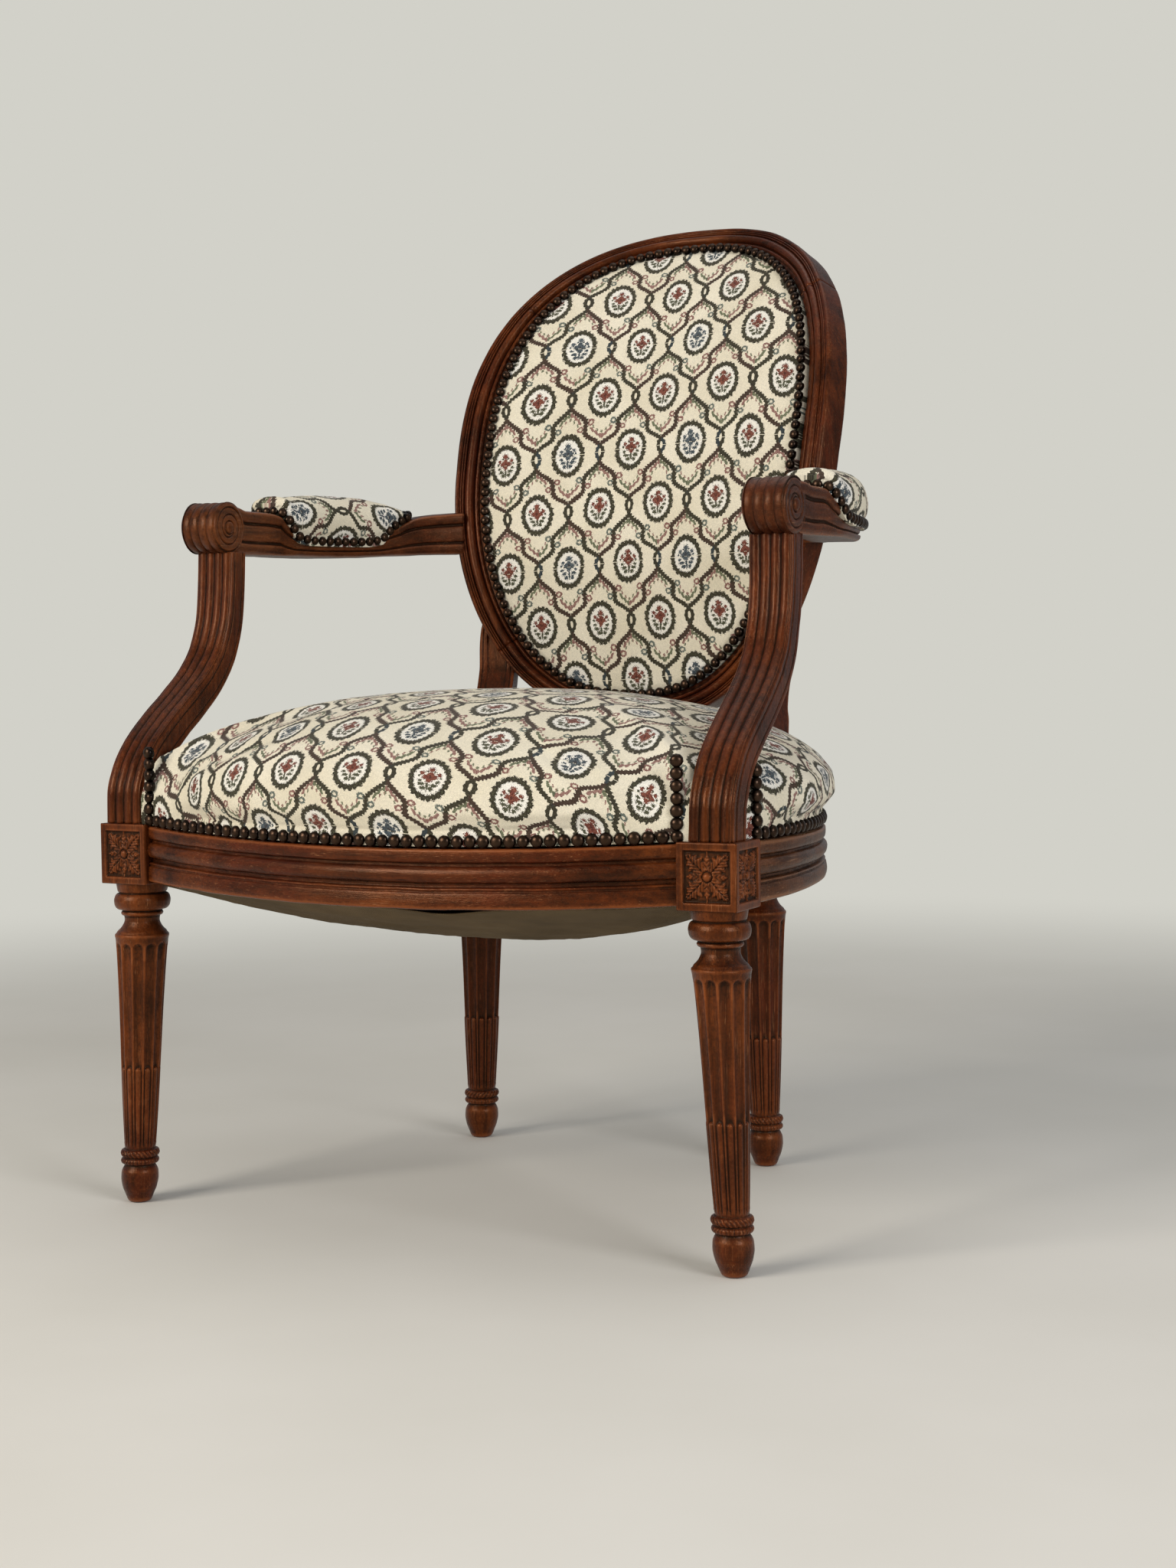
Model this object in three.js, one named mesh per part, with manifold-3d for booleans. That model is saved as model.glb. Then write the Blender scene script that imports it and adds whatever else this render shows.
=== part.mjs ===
// An open-arm upholstered chair with an oval back: carved beech frame, padded back, seat and arms.
// Lengths are millimetres. X runs to the sitter's left, Y to the back, Z up from the floor.
import * as THREE from "three";
import Module from "manifold-3d";

const wasm = await Module();
wasm.setup();

// Clearance between pieces that rest on each other or are let into each other.
const gap = 0.3;

// Legs: turned and fluted shafts under square blocks.
const legHeight = 271;
const legRadius = 23.2;
const fluteDepth = 1.7;
const fluteCount = 12;
const blockHeight = 50;
const frontBlockWidth = 47.5;
const rearBlockWidth = 44;
const frontBlockX = 265;
const frontLegSplay = 10.5;
const rearBlockY = 350;
const rearLegSplay = 4;
const panelWidth = 37;
const panelHeight = 39;
const panelDepth = 1.6;
const rosetteRadius = 16;
const rosetteHeight = 1.5;
const blockTurnShare = 0.014;

// Seat rails: their undersides lie a little above the foot of the blocks.
const railHeight = 45.5;
const railLift = 2.5;
const railBottom = legHeight + railLift;
const railThickness = 27;
const railMoulding = 4.5;
const frontRailY = -21;
const frontBow = 46;
const frontDip = 6;
const sideBottomRise = 8;
const sideTopDrop = 3;
const sideRailSetback = 2.75;
const sideRailFrontX = frontBlockX + frontBlockWidth / 2 - sideRailSetback;
const sideRailEndInset = 9;
const sideRailEndY = rearBlockY - sideRailEndInset;
const backRailSetback = 6;
const backRailY = rearBlockY + rearBlockWidth / 2 - backRailSetback;
const backRailBow = 11;

// Oval back: the front outer edge lies on a raked, hollowed and swept-back surface.
// Its foot hangs above the rear blocks and a little behind them.
const backHalfWidth = 185.4;
const backHalfHeight = 249.6;
const backDish = 48;
const backSweep = 31;
const backRake = 0.316;
const backFootRise = 72;
const backFootReach = 34.7;
const blockTop = legHeight + blockHeight;
const rearBlockInset = 42.4;
const rearBlockX = backHalfWidth - rearBlockInset;
const backY = rearBlockY + backFootReach + backHalfHeight * Math.sin(backRake) - backSweep;
const backZ = blockTop + backFootRise + backHalfHeight * Math.cos(backRake);
const backDishGrowthShare = 0.3;
const ovalEggShare = 0.084;
const ovalPower = 2.39;
const frameWidth = 25;
const frameThickness = 27;
const frameMoulding = 4.5;
const postWidth = 34;
const postDepth = 31;
const stileFrom = -0.74;
const stileTo = 0.71;

// Supports stand on the front blocks, and the arms run from them to the sides of the oval.
const supportWidth = 36;
const supportDepth = 29;
const supportReed = 2;
const supportSetback = 2.5;
const supportX = frontBlockX + supportSetback;
const supportFootInset = 6.5;
const supportFootY = -supportFootInset;
const supportReach = 122;
const supportLean = 5;
const armRise = 226;
const armFrontX = frontBlockX;
const armFrontInset = 16;
const armFrontY = supportReach - armFrontInset;
const armRearOut = 4.6;
const armRearIn = 2.8;
const armRearX = backHalfWidth + armRearOut;
const armBow = 30;
const armBottom = blockTop + armRise;
const armDepth = 44.5;
const armHalfWidth = 23;
const drumRadius = 22.2;
const drumWidth = 37;
const drumReed = 1.6;
const scrollRadius = 10;
const scrollHeight = 1.5;

// Upholstery.
const seatInset = 3;
const seatCrown = 111;
const frontBulge = 6;
const sideBulge = 12;
const seatTuck = 16;
const seatCentreInset = 10;
const seatCentreY = rearBlockY / 2 - seatCentreInset;
const backPadCrown = 20;
const backPadRear = 12.5;
const padClearance = 1;
const canvasThickness = 1.5;
const outsideDepth = 21;
const outsideThickness = 2;
const armPadHalfWidth = 29;
const armPadRise = 38;
const sheetThickness = 1.5;
const dustSag = 54;
const webbingSag = 36;
const webbingRise = 3;
const nailRadius = 5;
const nailHeight = 3.4;
const smallNailRadius = 4.3;
const smallNailHeight = 3;
const nailColumn = 48;

// Wood, cloth and metal finishes.
const beech = { color: 0x5a2a17, roughness: 0.42, metalness: 0 };
const tapestry = { color: 0xb9b08e, roughness: 0.9, metalness: 0 };
const canvas = { color: 0x8d8065, roughness: 0.95, metalness: 0 };
const hair = { color: 0x4d4238, roughness: 1, metalness: 0 };
const dustCloth = { color: 0x6d6553, roughness: 0.95, metalness: 0 };
const bronze = { color: 0x5b4630, roughness: 0.45, metalness: 0.9 };

const point = (x, y, z) => new THREE.Vector3(x, y, z);
const steps = (count, from = 0, to = 1) =>
  Array.from({ length: count + 1 }, (_, i) => from + ((to - from) * i) / count);
const mix = (a, b, t) => a + (b - a) * t;

// A value read from rows of [place, value], straight between rows.
function read(rows, at, column = 1) {
  let i = 0;
  while (i < rows.length - 2 && at > rows[i + 1][0]) i += 1;
  const [a, b] = [rows[i], rows[i + 1]];
  const t = Math.min(Math.max((at - a[0]) / (b[0] - a[0]), 0), 1);
  return mix(a[column], b[column], t);
}

// A closed solid from points and faces, turned the right way out.
function solidOf(points, faces) {
  const vertProperties = new Float32Array(points.flatMap((p) => [p.x, p.y, p.z]));
  const build = (list) =>
    new wasm.Manifold(
      new wasm.Mesh({ numProp: 3, vertProperties, triVerts: new Uint32Array(list.flat()) }),
    );
  const made = build(faces);
  return made.volume() > 0 ? made : build(faces.map(([a, b, c]) => [a, c, b]));
}

// Faces that close a ring of points.
function lid(ring) {
  const normal = point(0, 0, 0);
  ring.forEach((p, i) => normal.add(p.clone().cross(ring[(i + 1) % ring.length])));
  normal.normalize();
  const side = ring[1].clone().sub(ring[0]).normalize();
  const up = normal.clone().cross(side);
  const flat = ring.map((p) => new THREE.Vector2(p.dot(side), p.dot(up)));
  return THREE.ShapeUtils.triangulateShape(flat, []);
}

// A skin through rings of equal length, closed by a point or a flat lid at each end.
function loft(rings, startPoint = null, endPoint = null) {
  const count = rings[0].length;
  const points = rings.flat();
  const faces = [];
  for (let i = 0; i + 1 < rings.length; i += 1)
    for (let j = 0; j < count; j += 1) {
      const a = i * count + j;
      const b = i * count + ((j + 1) % count);
      faces.push([a, b, b + count], [a, b + count, a + count]);
    }
  const last = (rings.length - 1) * count;
  if (startPoint) {
    points.push(startPoint);
    for (let j = 0; j < count; j += 1) faces.push([points.length - 1, (j + 1) % count, j]);
  } else lid(rings[0]).forEach(([a, b, c]) => faces.push([a, c, b]));
  if (endPoint) {
    points.push(endPoint);
    for (let j = 0; j < count; j += 1)
      faces.push([points.length - 1, last + j, last + ((j + 1) % count)]);
  } else lid(rings.at(-1)).forEach(([a, b, c]) => faces.push([a + last, b + last, c + last]));
  return solidOf(points, faces);
}

// A section of [across, up] points placed at an origin along two directions.
const place = (section, origin, across, up) =>
  section.map(([a, b]) => origin.clone().addScaledVector(across, a).addScaledVector(up, b));

// A box as a solid, centred on x and y, turned a little about Z.
function box(x, y, bottom, width, depth, height, turn = 0) {
  const across = point(Math.cos(turn), Math.sin(turn), 0);
  const along = point(-Math.sin(turn), Math.cos(turn), 0);
  const corners = [[-1, -1], [1, -1], [1, 1], [-1, 1]];
  const section = corners.map(([a, b]) => [(a * width) / 2, (b * depth) / 2]);
  return loft([bottom, bottom + height].map((z) => place(section, point(x, y, z), across, along)));
}

// Adds a node: one closed solid with its own finish.
const group = new THREE.Group();
function add(name, solid, finish) {
  const data = solid.getMesh();
  const geometry = new THREE.BufferGeometry();
  geometry.setAttribute("position", new THREE.BufferAttribute(data.vertProperties, 3));
  geometry.setIndex(new THREE.BufferAttribute(data.triVerts, 1));
  geometry.computeVertexNormals();
  const mesh = new THREE.Mesh(geometry, new THREE.MeshStandardMaterial(finish));
  mesh.name = name;
  group.add(mesh);
}

// Turned outline of a leg as shares of its height and largest radius, floor first.
const footShares = [
  [0, 0.4], [0.0258, 0.5], [0.048, 0.612], [0.077, 0.666], [0.1033, 0.638], [0.1196, 0.556],
  [0.13, 0.668], [0.1424, 0.634], [0.155, 0.677], [0.1697, 0.556],
];
const neckShares = [
  [0.8192, 0.931], [0.8376, 0.961], [0.8487, 0.935], [0.8635, 0.75], [0.8835, 0.618],
  [0.9022, 0.7], [0.9133, 0.759], [0.9235, 0.93], [0.9446, 1], [0.9642, 0.879], [1.01, 0.935],
];
// Fluted shaft between them, with the depth of its flutes as a share.
const shaftShares = [
  [0.185, 0.565, 0.5], [0.4207, 0.707, 0.5], [0.4317, 0.713, 1], [0.8081, 0.925, 1],
];

// One leg: rings whose centres lean outward, with flutes cut between the arrises.
function turnedLeg(side, x, y, splay) {
  const rows = [...footShares, ...shaftShares, ...neckShares].map(([h, r, f = 0]) => [h, r, f]);
  const rings = rows.map(([heightShare, radiusShare, fluteShare]) =>
    steps(2 * fluteCount).slice(1).map((turnShare, j) => {
      const cut = j % 2 ? fluteShare * fluteDepth : 0;
      const radius = radiusShare * legRadius - cut;
      const angle = turnShare * 2 * Math.PI;
      return point(
        side * (x + splay * (1 - heightShare)) + radius * Math.cos(angle),
        y + radius * Math.sin(angle),
        heightShare * legHeight,
      );
    }),
  );
  return loft(rings);
}

// A carved rosette: a low petalled boss that stands on a panel facing along a direction.
const rosetteShares = [[1, -0.5], [0.98, 0.3], [0.62, 0.9], [0.3, 0.5]];
const petalShare = 0.82;
const petals = 8;
function rosette(centre, facing) {
  const up = point(0, 0, 1);
  const across = up.clone().cross(facing);
  const rings = rosetteShares.map(([radiusShare, heightShare]) => {
    const section = steps(2 * petals).slice(1).map((turnShare, j) => {
      const radius = rosetteRadius * radiusShare * (j % 2 ? petalShare : 1);
      return [radius * Math.cos(turnShare * 2 * Math.PI), radius * Math.sin(turnShare * 2 * Math.PI)];
    });
    return place(section, centre.clone().addScaledVector(facing, heightShare * rosetteHeight), across, up);
  });
  return loft(rings, null, centre.clone().addScaledVector(facing, rosetteHeight));
}

// Front leg with its square block, sunk panels and rosettes on the two outer faces.
function frontLeg(side) {
  const turn = side * blockTurnShare * Math.PI;
  const x = side * frontBlockX;
  let body = box(x, 0, legHeight, frontBlockWidth, frontBlockWidth, blockHeight, turn);
  const middle = blockTop - blockHeight / 2;
  const front = point(Math.sin(turn), -Math.cos(turn), 0);
  const outer = point(side * Math.cos(turn), side * Math.sin(turn), 0);
  for (const facing of [front, outer]) {
    const reach = frontBlockWidth / 2;
    const centre = point(x, 0, middle).addScaledVector(facing, reach);
    const across = point(-facing.y, facing.x, 0);
    const half = [panelWidth / 2, panelHeight / 2];
    const corners = [[-1, -1], [1, -1], [1, 1], [-1, 1]].map(([a, b]) => [a * half[0], b * half[1]]);
    const panel = loft(
      [-panelDepth, panelDepth].map((d) =>
        place(corners, centre.clone().addScaledVector(facing, d), across, point(0, 0, 1))),
    );
    body = body.subtract(panel);
    body = body.add(rosette(centre.clone().addScaledVector(facing, -panelDepth), facing));
  }
  return turnedLeg(side, frontBlockX, 0, frontLegSplay).add(body);
}

// A place on the back: u across, v up the slope, depth behind the front surface.
function backSurface(u, v) {
  const across = u / backHalfWidth;
  const up = v / backHalfHeight;
  const dish = backDish * across * across * (1 + backDishGrowthShare * up);
  const sweep = backSweep * up * up;
  return point(u, backY + v * Math.sin(backRake) - dish + sweep, backZ + v * Math.cos(backRake));
}
function backPoint(u, v, depth) {
  const step = backHalfWidth / 1000;
  const acrossU = backSurface(u + step, v).sub(backSurface(u - step, v));
  const alongV = backSurface(u, v + step).sub(backSurface(u, v - step));
  const rearward = alongV.cross(acrossU).normalize();
  return backSurface(u, v).addScaledVector(rearward, depth);
}

// The oval outline at an angle, drawn in by a distance toward its middle.
function oval(angle, inward = 0) {
  const at = (t) => {
    const [c, s] = [Math.cos(t), Math.sin(t)];
    const power = (value) => Math.sign(value) * Math.abs(value) ** (2 / ovalPower);
    return [backHalfWidth * power(c) * (1 + ovalEggShare * s), backHalfHeight * power(s)];
  };
  const [u, v] = at(angle);
  const [a, b] = [at(angle - 0.002), at(angle + 0.002)];
  const [du, dv] = [b[0] - a[0], b[1] - a[1]];
  const size = Math.hypot(du, dv);
  return [u - (inward * dv) / size, v + (inward * du) / size];
}

// Moulded section of the oval frame as shares: inward over its width, back over its thickness.
const frameShares = [
  [0, 0.17], [0, 0.9], [0.1, 1], [0.9, 1], [1, 0.9], [1, 0.16], [0.86, 0.17], [0.76, 0.07],
  [0.66, 0.15], [0.52, 0.02], [0.38, 0], [0.24, 0.13],
];
function frameArc(from, to, count, grow = 0) {
  const rings = steps(count, from, to).map((angle) =>
    frameShares.map(([inShare, backShare]) => {
      const inward = mix(-grow, frameWidth + grow, inShare);
      const back = mix(-grow, frameThickness + grow, backShare);
      const [u, v] = oval(angle, inward);
      return backPoint(u, v, back);
    }),
  );
  return loft(rings);
}

// Post from the rear block up behind the rim of the oval: height, lean and reach toward the stile,
// width, depth, and turn toward the middle, which follows the hollow of the back.
const postShares = [
  [-0.04, 0, 0, 1.12, 1.16, 0], [0.1, 0, 0.015, 1.12, 1.13, 0.006], [0.25, 0.05, 0.1, 1.09, 1.1, 0.018],
  [0.42, 0.35, 0.36, 1.04, 1.01, 0.036], [0.51, 0.8, 0.526, 1.01, 0.9, 0.044],
  [0.585, 1.05, 0.745, 1, 0.79, 0.047], [0.66, 0.75, 0.92, 1, 0.69, 0.047], [0.72, 0.4, 1.04, 1, 0.65, 0.047],
  [0.82, -0.1, 1.137, 1, 0.64, 0.047], [0.92, -0.35, 1.213, 0.96, 0.6, 0.047],
  [1, -0.1, 1.271, 0.88, 0.55, 0.047],
];
const postSection = [[-1, -0.8], [-0.8, -1], [0.8, -1], [1, -0.8], [1, 0.8], [0.8, 1], [-0.8, 1], [-1, 0.8]];
function rearPost(grow = 0) {
  const foot = point(rearBlockX, rearBlockY, blockTop);
  const head = backPoint(...oval(stileFrom, 0), frameThickness / 2);
  head.z += postWidth;
  const rings = postShares.map(([rise, lean, reach, width, depth, turn]) => {
    const origin = point(mix(foot.x, head.x, lean), mix(foot.y, head.y, reach), mix(foot.z, head.z, rise));
    const section = postSection.map(([a, b]) => [
      a * ((width * postWidth) / 2 + grow), b * ((depth * postDepth) / 2 + grow),
    ]);
    const [c, s] = [Math.cos(turn * 2 * Math.PI), Math.sin(turn * 2 * Math.PI)];
    return place(section, origin, point(c, -s, 0), point(s, c, 0));
  });
  return loft(rings);
}

// A solid mirrored to the other side where the side is -1.
const sided = (side, solid) => (side > 0 ? solid : solid.mirror([1, 0, 0]));

// The opening inside the oval frame, right through it.
function opening() {
  const rings = [-frameThickness, 2 * frameThickness].map((depth) =>
    steps(60).slice(1).map((turnShare) => {
      const [u, v] = oval(turnShare * 2 * Math.PI, frameWidth);
      return backPoint(u, v, depth);
    }),
  );
  return loft(rings, backPoint(0, 0, -frameThickness), backPoint(0, 0, 2 * frameThickness));
}

// Rear leg in one with its block, its post and the side of the oval frame.
function rearLeg(side) {
  const body = turnedLeg(1, rearBlockX, rearBlockY, rearLegSplay)
    .add(box(rearBlockX, rearBlockY, legHeight, rearBlockWidth, rearBlockWidth, blockHeight))
    .add(rearPost().subtract(opening()))
    .add(frameArc(stileFrom, stileTo, 14));
  return sided(side, body);
}

// Top and bottom of the oval, tenoned between the stiles.
const jointAngle = gap / backHalfWidth;
const crest = () => frameArc(stileTo + jointAngle, Math.PI - stileTo - jointAngle, 16);
function backBottom() {
  const from = -Math.PI - stileFrom;
  let arc = frameArc(from + jointAngle, stileFrom - jointAngle, 16);
  for (const side of [-1, 1]) arc = arc.subtract(sided(side, rearPost(gap)));
  return arc;
}

// Moulded rail section as shares: outward over the moulding, up over the rail's height.
const railShares = [
  [-0.4, 0], [0, 0.04], [0.1, 0.18], [0, 0.3], [-0.35, 0.36], [-1, 0.37], [-1, 0.45],
  [-0.15, 0.48], [0.15, 0.58], [-0.15, 0.68], [-0.8, 0.71], [-0.8, 0.79], [-0.1, 0.81],
  [0, 0.96], [-0.3, 1],
];
// A rail along plan places, each with its outward direction, bottom and height.
function rail(stations) {
  const rings = stations.map(({ at, out, bottom, height }) => {
    const section = railShares.map(([o, h]) => [o * railMoulding, bottom + h * height]);
    section.push([-railThickness, bottom + height], [-railThickness, bottom]);
    return place(section, at, out, point(0, 0, 1));
  });
  return loft(rings);
}

// Front face of the front rail and its drop, at a place across.
const frontHalf = frontBlockX - frontBlockWidth / 2;
const frontFaceY = (x) => frontRailY - frontBow * (1 - (x / frontHalf) ** 2);
const frontDrop = (x) => frontDip * Math.max(1 - (x / frontHalf) ** 2, 0);
const frontSlope = (x) => (2 * frontBow * x) / frontHalf ** 2;
function frontRail() {
  const half = frontHalf + frontBlockWidth / 4;
  const stations = steps(16, -half, half).map((x) => {
    const out = point(frontSlope(x), -1, 0).normalize();
    return { at: point(x, frontFaceY(x), 0), out, bottom: railBottom - frontDrop(x), height: railHeight };
  });
  let body = rail(stations);
  for (const side of [-1, 1]) body = body.subtract(blockSpace(side));
  return body;
}

// The space a front block fills, with clearance.
const blockSpace = (side) =>
  box(side * frontBlockX, 0, legHeight - frontBlockWidth, frontBlockWidth + 2 * gap,
    frontBlockWidth + 2 * gap, blockHeight + frontBlockWidth + gap, side * blockTurnShare * Math.PI);
const rearSpace = (side) =>
  box(side * rearBlockX, rearBlockY, legHeight - rearBlockWidth, rearBlockWidth + 2 * gap,
    rearBlockWidth + 2 * gap, blockHeight + rearBlockWidth + gap);

// Plan line of a side rail's outer face: shares of the way in and of the way back.
const sideShares = [[0, 0], [-0.042, 0.15], [-0.004, 0.33], [0.1, 0.5], [0.29, 0.67], [0.58, 0.84], [1, 1]];
const sideFrontY = frontBlockWidth / 2;
const sideReach = sideRailFrontX - (rearBlockX + rearBlockWidth / 2);
const sideCurve = new THREE.CatmullRomCurve3(
  sideShares.map(([inShare, backShare]) =>
    point(sideRailFrontX - inShare * sideReach, mix(sideFrontY, sideRailEndY, backShare), 0)),
);
// The side rail's station at a share of its length.
function sideStation(t) {
  const at = sideCurve.getPoint(t);
  const along = sideCurve.getTangent(t);
  const bottom = railBottom + sideBottomRise * t;
  const top = railBottom + railHeight - sideTopDrop * t;
  return { at, out: point(along.y, -along.x, 0).normalize(), bottom, height: top - bottom };
}
function sideRail(side) {
  const inner = steps(14).map(sideStation);
  const tail = { ...inner.at(-1), at: inner.at(-1).at.clone().add(point(-railThickness / 2, railThickness / 2, 0)) };
  const lead = { ...inner[0], at: inner[0].at.clone().add(point(0, -railThickness / 2, 0)) };
  const body = rail([lead, ...inner, tail]).subtract(blockSpace(1)).subtract(rearSpace(1));
  return sided(side, body);
}

// Plain back rail, bowed to the rear.
const rearHalf = rearBlockX - rearBlockWidth / 2;
const backRailFace = (x) => backRailY + backRailBow * (1 - (x / rearHalf) ** 2);
function backRail() {
  const bottom = railBottom + sideBottomRise;
  const top = railBottom + railHeight - sideTopDrop;
  const rings = steps(8, -rearHalf + gap, rearHalf - gap).map((x) => {
    const y = backRailFace(x);
    return [[0, bottom], [0, top], [-railThickness, top], [-railThickness, bottom]].map(([d, z]) =>
      point(x, y + d, z));
  });
  return loft(rings);
}

// Arm line in plan, drum first: a share of the way back, bowed outward, and ending at the oval.
const armRearSlope = (armBottom + armDepth / 2 - backZ) / Math.cos(backRake);
const armRearY = backSurface(backHalfWidth, armRearSlope).y + armRearIn;
function armLine(s) {
  const bow = 4 * armBow * s * (1 - s);
  const at = point(mix(armFrontX, armRearX, s) + bow, mix(armFrontY, armRearY, s), 0);
  const along = point(armRearX - armFrontX + 4 * armBow * (1 - 2 * s), armRearY - armFrontY, 0);
  return { at, out: point(along.y, -along.x, 0).normalize() };
}
// Arm body along the line: [place, bottom, top, half width] as shares of depth and half width.
const armShares = [
  [0.02, 0.02, 0.9, 0.72], [0.07, 0, 0.9, 0.74], [0.12, 0, 0.83, 0.78], [0.18, 0, 0.84, 0.84],
  [0.24, 0, 0.62, 0.93], [0.31, 0, 0.45, 1], [0.5, 0, 0.43, 1], [0.72, 0.03, 0.45, 1],
  [0.8, 0.06, 0.62, 0.88], [0.88, 0.08, 0.85, 0.7], [0.94, 0.1, 0.92, 0.62], [1.05, 0.11, 0.99, 0.6],
];
// Section of the arm as shares of half width and of the height between bottom and top.
const armSectionShares = [
  [-0.74, 0], [-0.8, 0.16], [-0.97, 0.34], [-1, 0.86], [-0.92, 1], [0.92, 1], [1, 0.86],
  [0.97, 0.34], [0.8, 0.16], [0.74, 0],
];
function arm(side) {
  const rings = armShares.map(([s, low, high, wide]) => {
    const { at, out } = armLine(s);
    const [bottom, top] = [low, high].map((share) => armBottom + share * armDepth);
    const section = armSectionShares.map(([a, h]) => [a * wide * armHalfWidth, mix(bottom, top, h)]);
    return place(section, at, out, point(0, 0, 1));
  });
  const body = loft(rings)
    .subtract(frameArc(stileFrom, stileTo, 14, gap))
    .decompose()
    .sort((a, b) => b.volume() - a.volume())[0]
    .add(drum());
  return sided(side, body);
}

// Scrolled drum at the arm's front end, reeded round its width, with a boss on each end.
const drumShares = [
  [-0.5, 0.92], [-0.46, 1], [-0.3, 1], [-0.25, 0], [-0.2, 1], [-0.05, 1], [0, 0], [0.05, 1],
  [0.2, 1], [0.25, 0], [0.3, 1], [0.46, 1], [0.5, 0.92],
];
function drum() {
  const middle = armBottom + drumRadius;
  const centre = (x) => point(armFrontX + x, armFrontY, middle);
  const ring = (x, radius) =>
    steps(20).slice(1).map((turnShare) => {
      const angle = turnShare * 2 * Math.PI;
      return centre(x).add(point(0, radius * Math.cos(angle), radius * Math.sin(angle)));
    });
  const rings = drumShares.map(([x, r]) => ring(x * drumWidth, drumRadius - (1 - r) * drumReed));
  const end = drumWidth / 2 + scrollHeight;
  return loft([ring(-end, scrollRadius), ring(-end + scrollHeight, scrollRadius), ...rings,
    ring(end - scrollHeight, scrollRadius), ring(end, scrollRadius)]);
}

// Arm support: centre line as shares of its height, reach back, lean in and size.
const supportShares = [
  [0, 0, 0, 1, 1], [0.1, 0.005, 0, 1, 1], [0.17, 0.05, 0.02, 1, 1], [0.25, 0.15, 0.08, 1, 0.97],
  [0.34, 0.34, 0.2, 1, 0.95], [0.43, 0.56, 0.4, 1, 0.93], [0.52, 0.75, 0.6, 1, 0.9],
  [0.62, 0.885, 0.78, 1, 0.87], [0.76, 0.965, 0.92, 1.01, 0.84], [0.9, 0.99, 0.98, 1.02, 0.83],
  [1, 1, 1, 1.02, 0.83],
];
// Section of the support: four reeds on the front, rounded corners behind.
const supportSectionShares = [
  [-1, -0.72, 0], [-0.93, -0.93, 0], [-0.75, -1, 0], [-0.5, -1, 1], [-0.25, -1, 0], [0, -1, 1],
  [0.25, -1, 0], [0.5, -1, 1], [0.75, -1, 0], [0.93, -0.93, 0], [1, -0.72, 0], [1, 0.75, 0],
  [0.8, 1, 0], [-0.8, 1, 0], [-1, 0.75, 0],
];
const supportBottom = blockTop + gap;
const supportTop = armBottom - gap;
function supportCurve(rise) {
  const [y, x] = [1, 2].map((column) => read(supportShares, rise, column));
  return point(supportX - x * supportLean, supportFootY + y * supportReach, mix(supportBottom, supportTop, rise));
}
function armSupport(grow = 0) {
  const last = supportShares.length - 1;
  const rings = supportShares.map(([rise, , , wide, deep], i) => {
    const [before, after] = [supportShares[Math.max(i - 1, 0)], supportShares[Math.min(i + 1, last)]];
    const along = supportCurve(after[0]).sub(supportCurve(before[0])).normalize();
    if (i === 0 || i === last) along.set(0, 0, 1);
    const across = point(1, 0, 0).addScaledVector(along, -along.x).normalize();
    const back = along.clone().cross(across);
    const section = supportSectionShares.map(([a, b, cut]) => [
      a * ((wide * supportWidth) / 2 + grow),
      b * ((deep * supportDepth) / 2 + grow) + cut * supportReed,
    ]);
    const origin = supportCurve(rise).add(point(0, 0, (rise - 0.5) * 2 * grow));
    return place(section, origin, across, back);
  });
  return loft(rings);
}

// Outline of the seat in plan, as places round the chair, drawn in by a distance.
function seatOutline(inset) {
  const front = steps(8).map((t) => {
    const x = t * (frontHalf + frontBlockWidth * 0.4);
    return [x, frontFaceY(Math.min(x, frontHalf)) + inset];
  });
  const side = steps(12, 0.02, 0.98).map((t) => {
    const { at, out } = sideStation(t);
    return [at.x - out.x * inset, at.y - out.y * inset];
  });
  const back = steps(3, 1, 0).map((t) => [t * rearHalf, backRailFace(t * rearHalf) - inset]);
  return [...front, ...side, ...back];
}

// Inside line of the seat frame in plan.
function wellOutline(inset) {
  const clear = railThickness + inset;
  const front = steps(5).map((t) => {
    const x = t * (frontHalf - clear / 4);
    return [x - clear * frontSlope(x), frontFaceY(x) + clear];
  });
  const corner = [frontHalf - inset, sideFrontY + inset];
  const side = steps(8, 0.06, 0.9).map((t) => {
    const { at, out } = sideStation(t);
    return [at.x - out.x * clear, at.y - out.y * clear];
  });
  const post = [rearHalf - inset, rearBlockY - rearBlockWidth / 2 - inset];
  const back = steps(3, 1, 0).map((t) => [t * (rearHalf - inset), backRailFace(t * rearHalf) - clear]);
  return [...front, corner, ...side, post, ...back];
}

// Distance from the seat's middle to an outline of the right half, at an angle from the front.
function reachOf(outline, angle) {
  const [dx, dy] = [Math.abs(Math.sin(angle)), -Math.cos(angle)];
  let best = 0;
  for (let i = 0; i + 1 < outline.length; i += 1) {
    const [[ax, ay], [bx, by]] = [outline[i], outline[i + 1]];
    const [ex, ey] = [bx - ax, by - ay];
    const det = dx * ey - dy * ex;
    if (Math.abs(det) > 0) {
      const t = (ax * ey - (ay - seatCentreY) * ex) / det;
      const s = (ax * dy - (ay - seatCentreY) * dx) / det;
      if (t > 0 && s >= -0.001 && s <= 1.001) best = Math.max(best, t);
    }
  }
  return best;
}

// A ring round the seat at a share of an outline, with a height for each place.
const seatSpokes = 64;
function seatRing(outline, count, share, heightAt, extraAt = () => 0) {
  return steps(count).slice(1).map((turnShare) => {
    const angle = turnShare * 2 * Math.PI;
    const reach = reachOf(outline, angle) * share + extraAt(angle);
    const [x, y] = [Math.sin(angle) * reach, seatCentreY - Math.cos(angle) * reach];
    return point(x, y, heightAt(x, y));
  });
}
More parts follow.
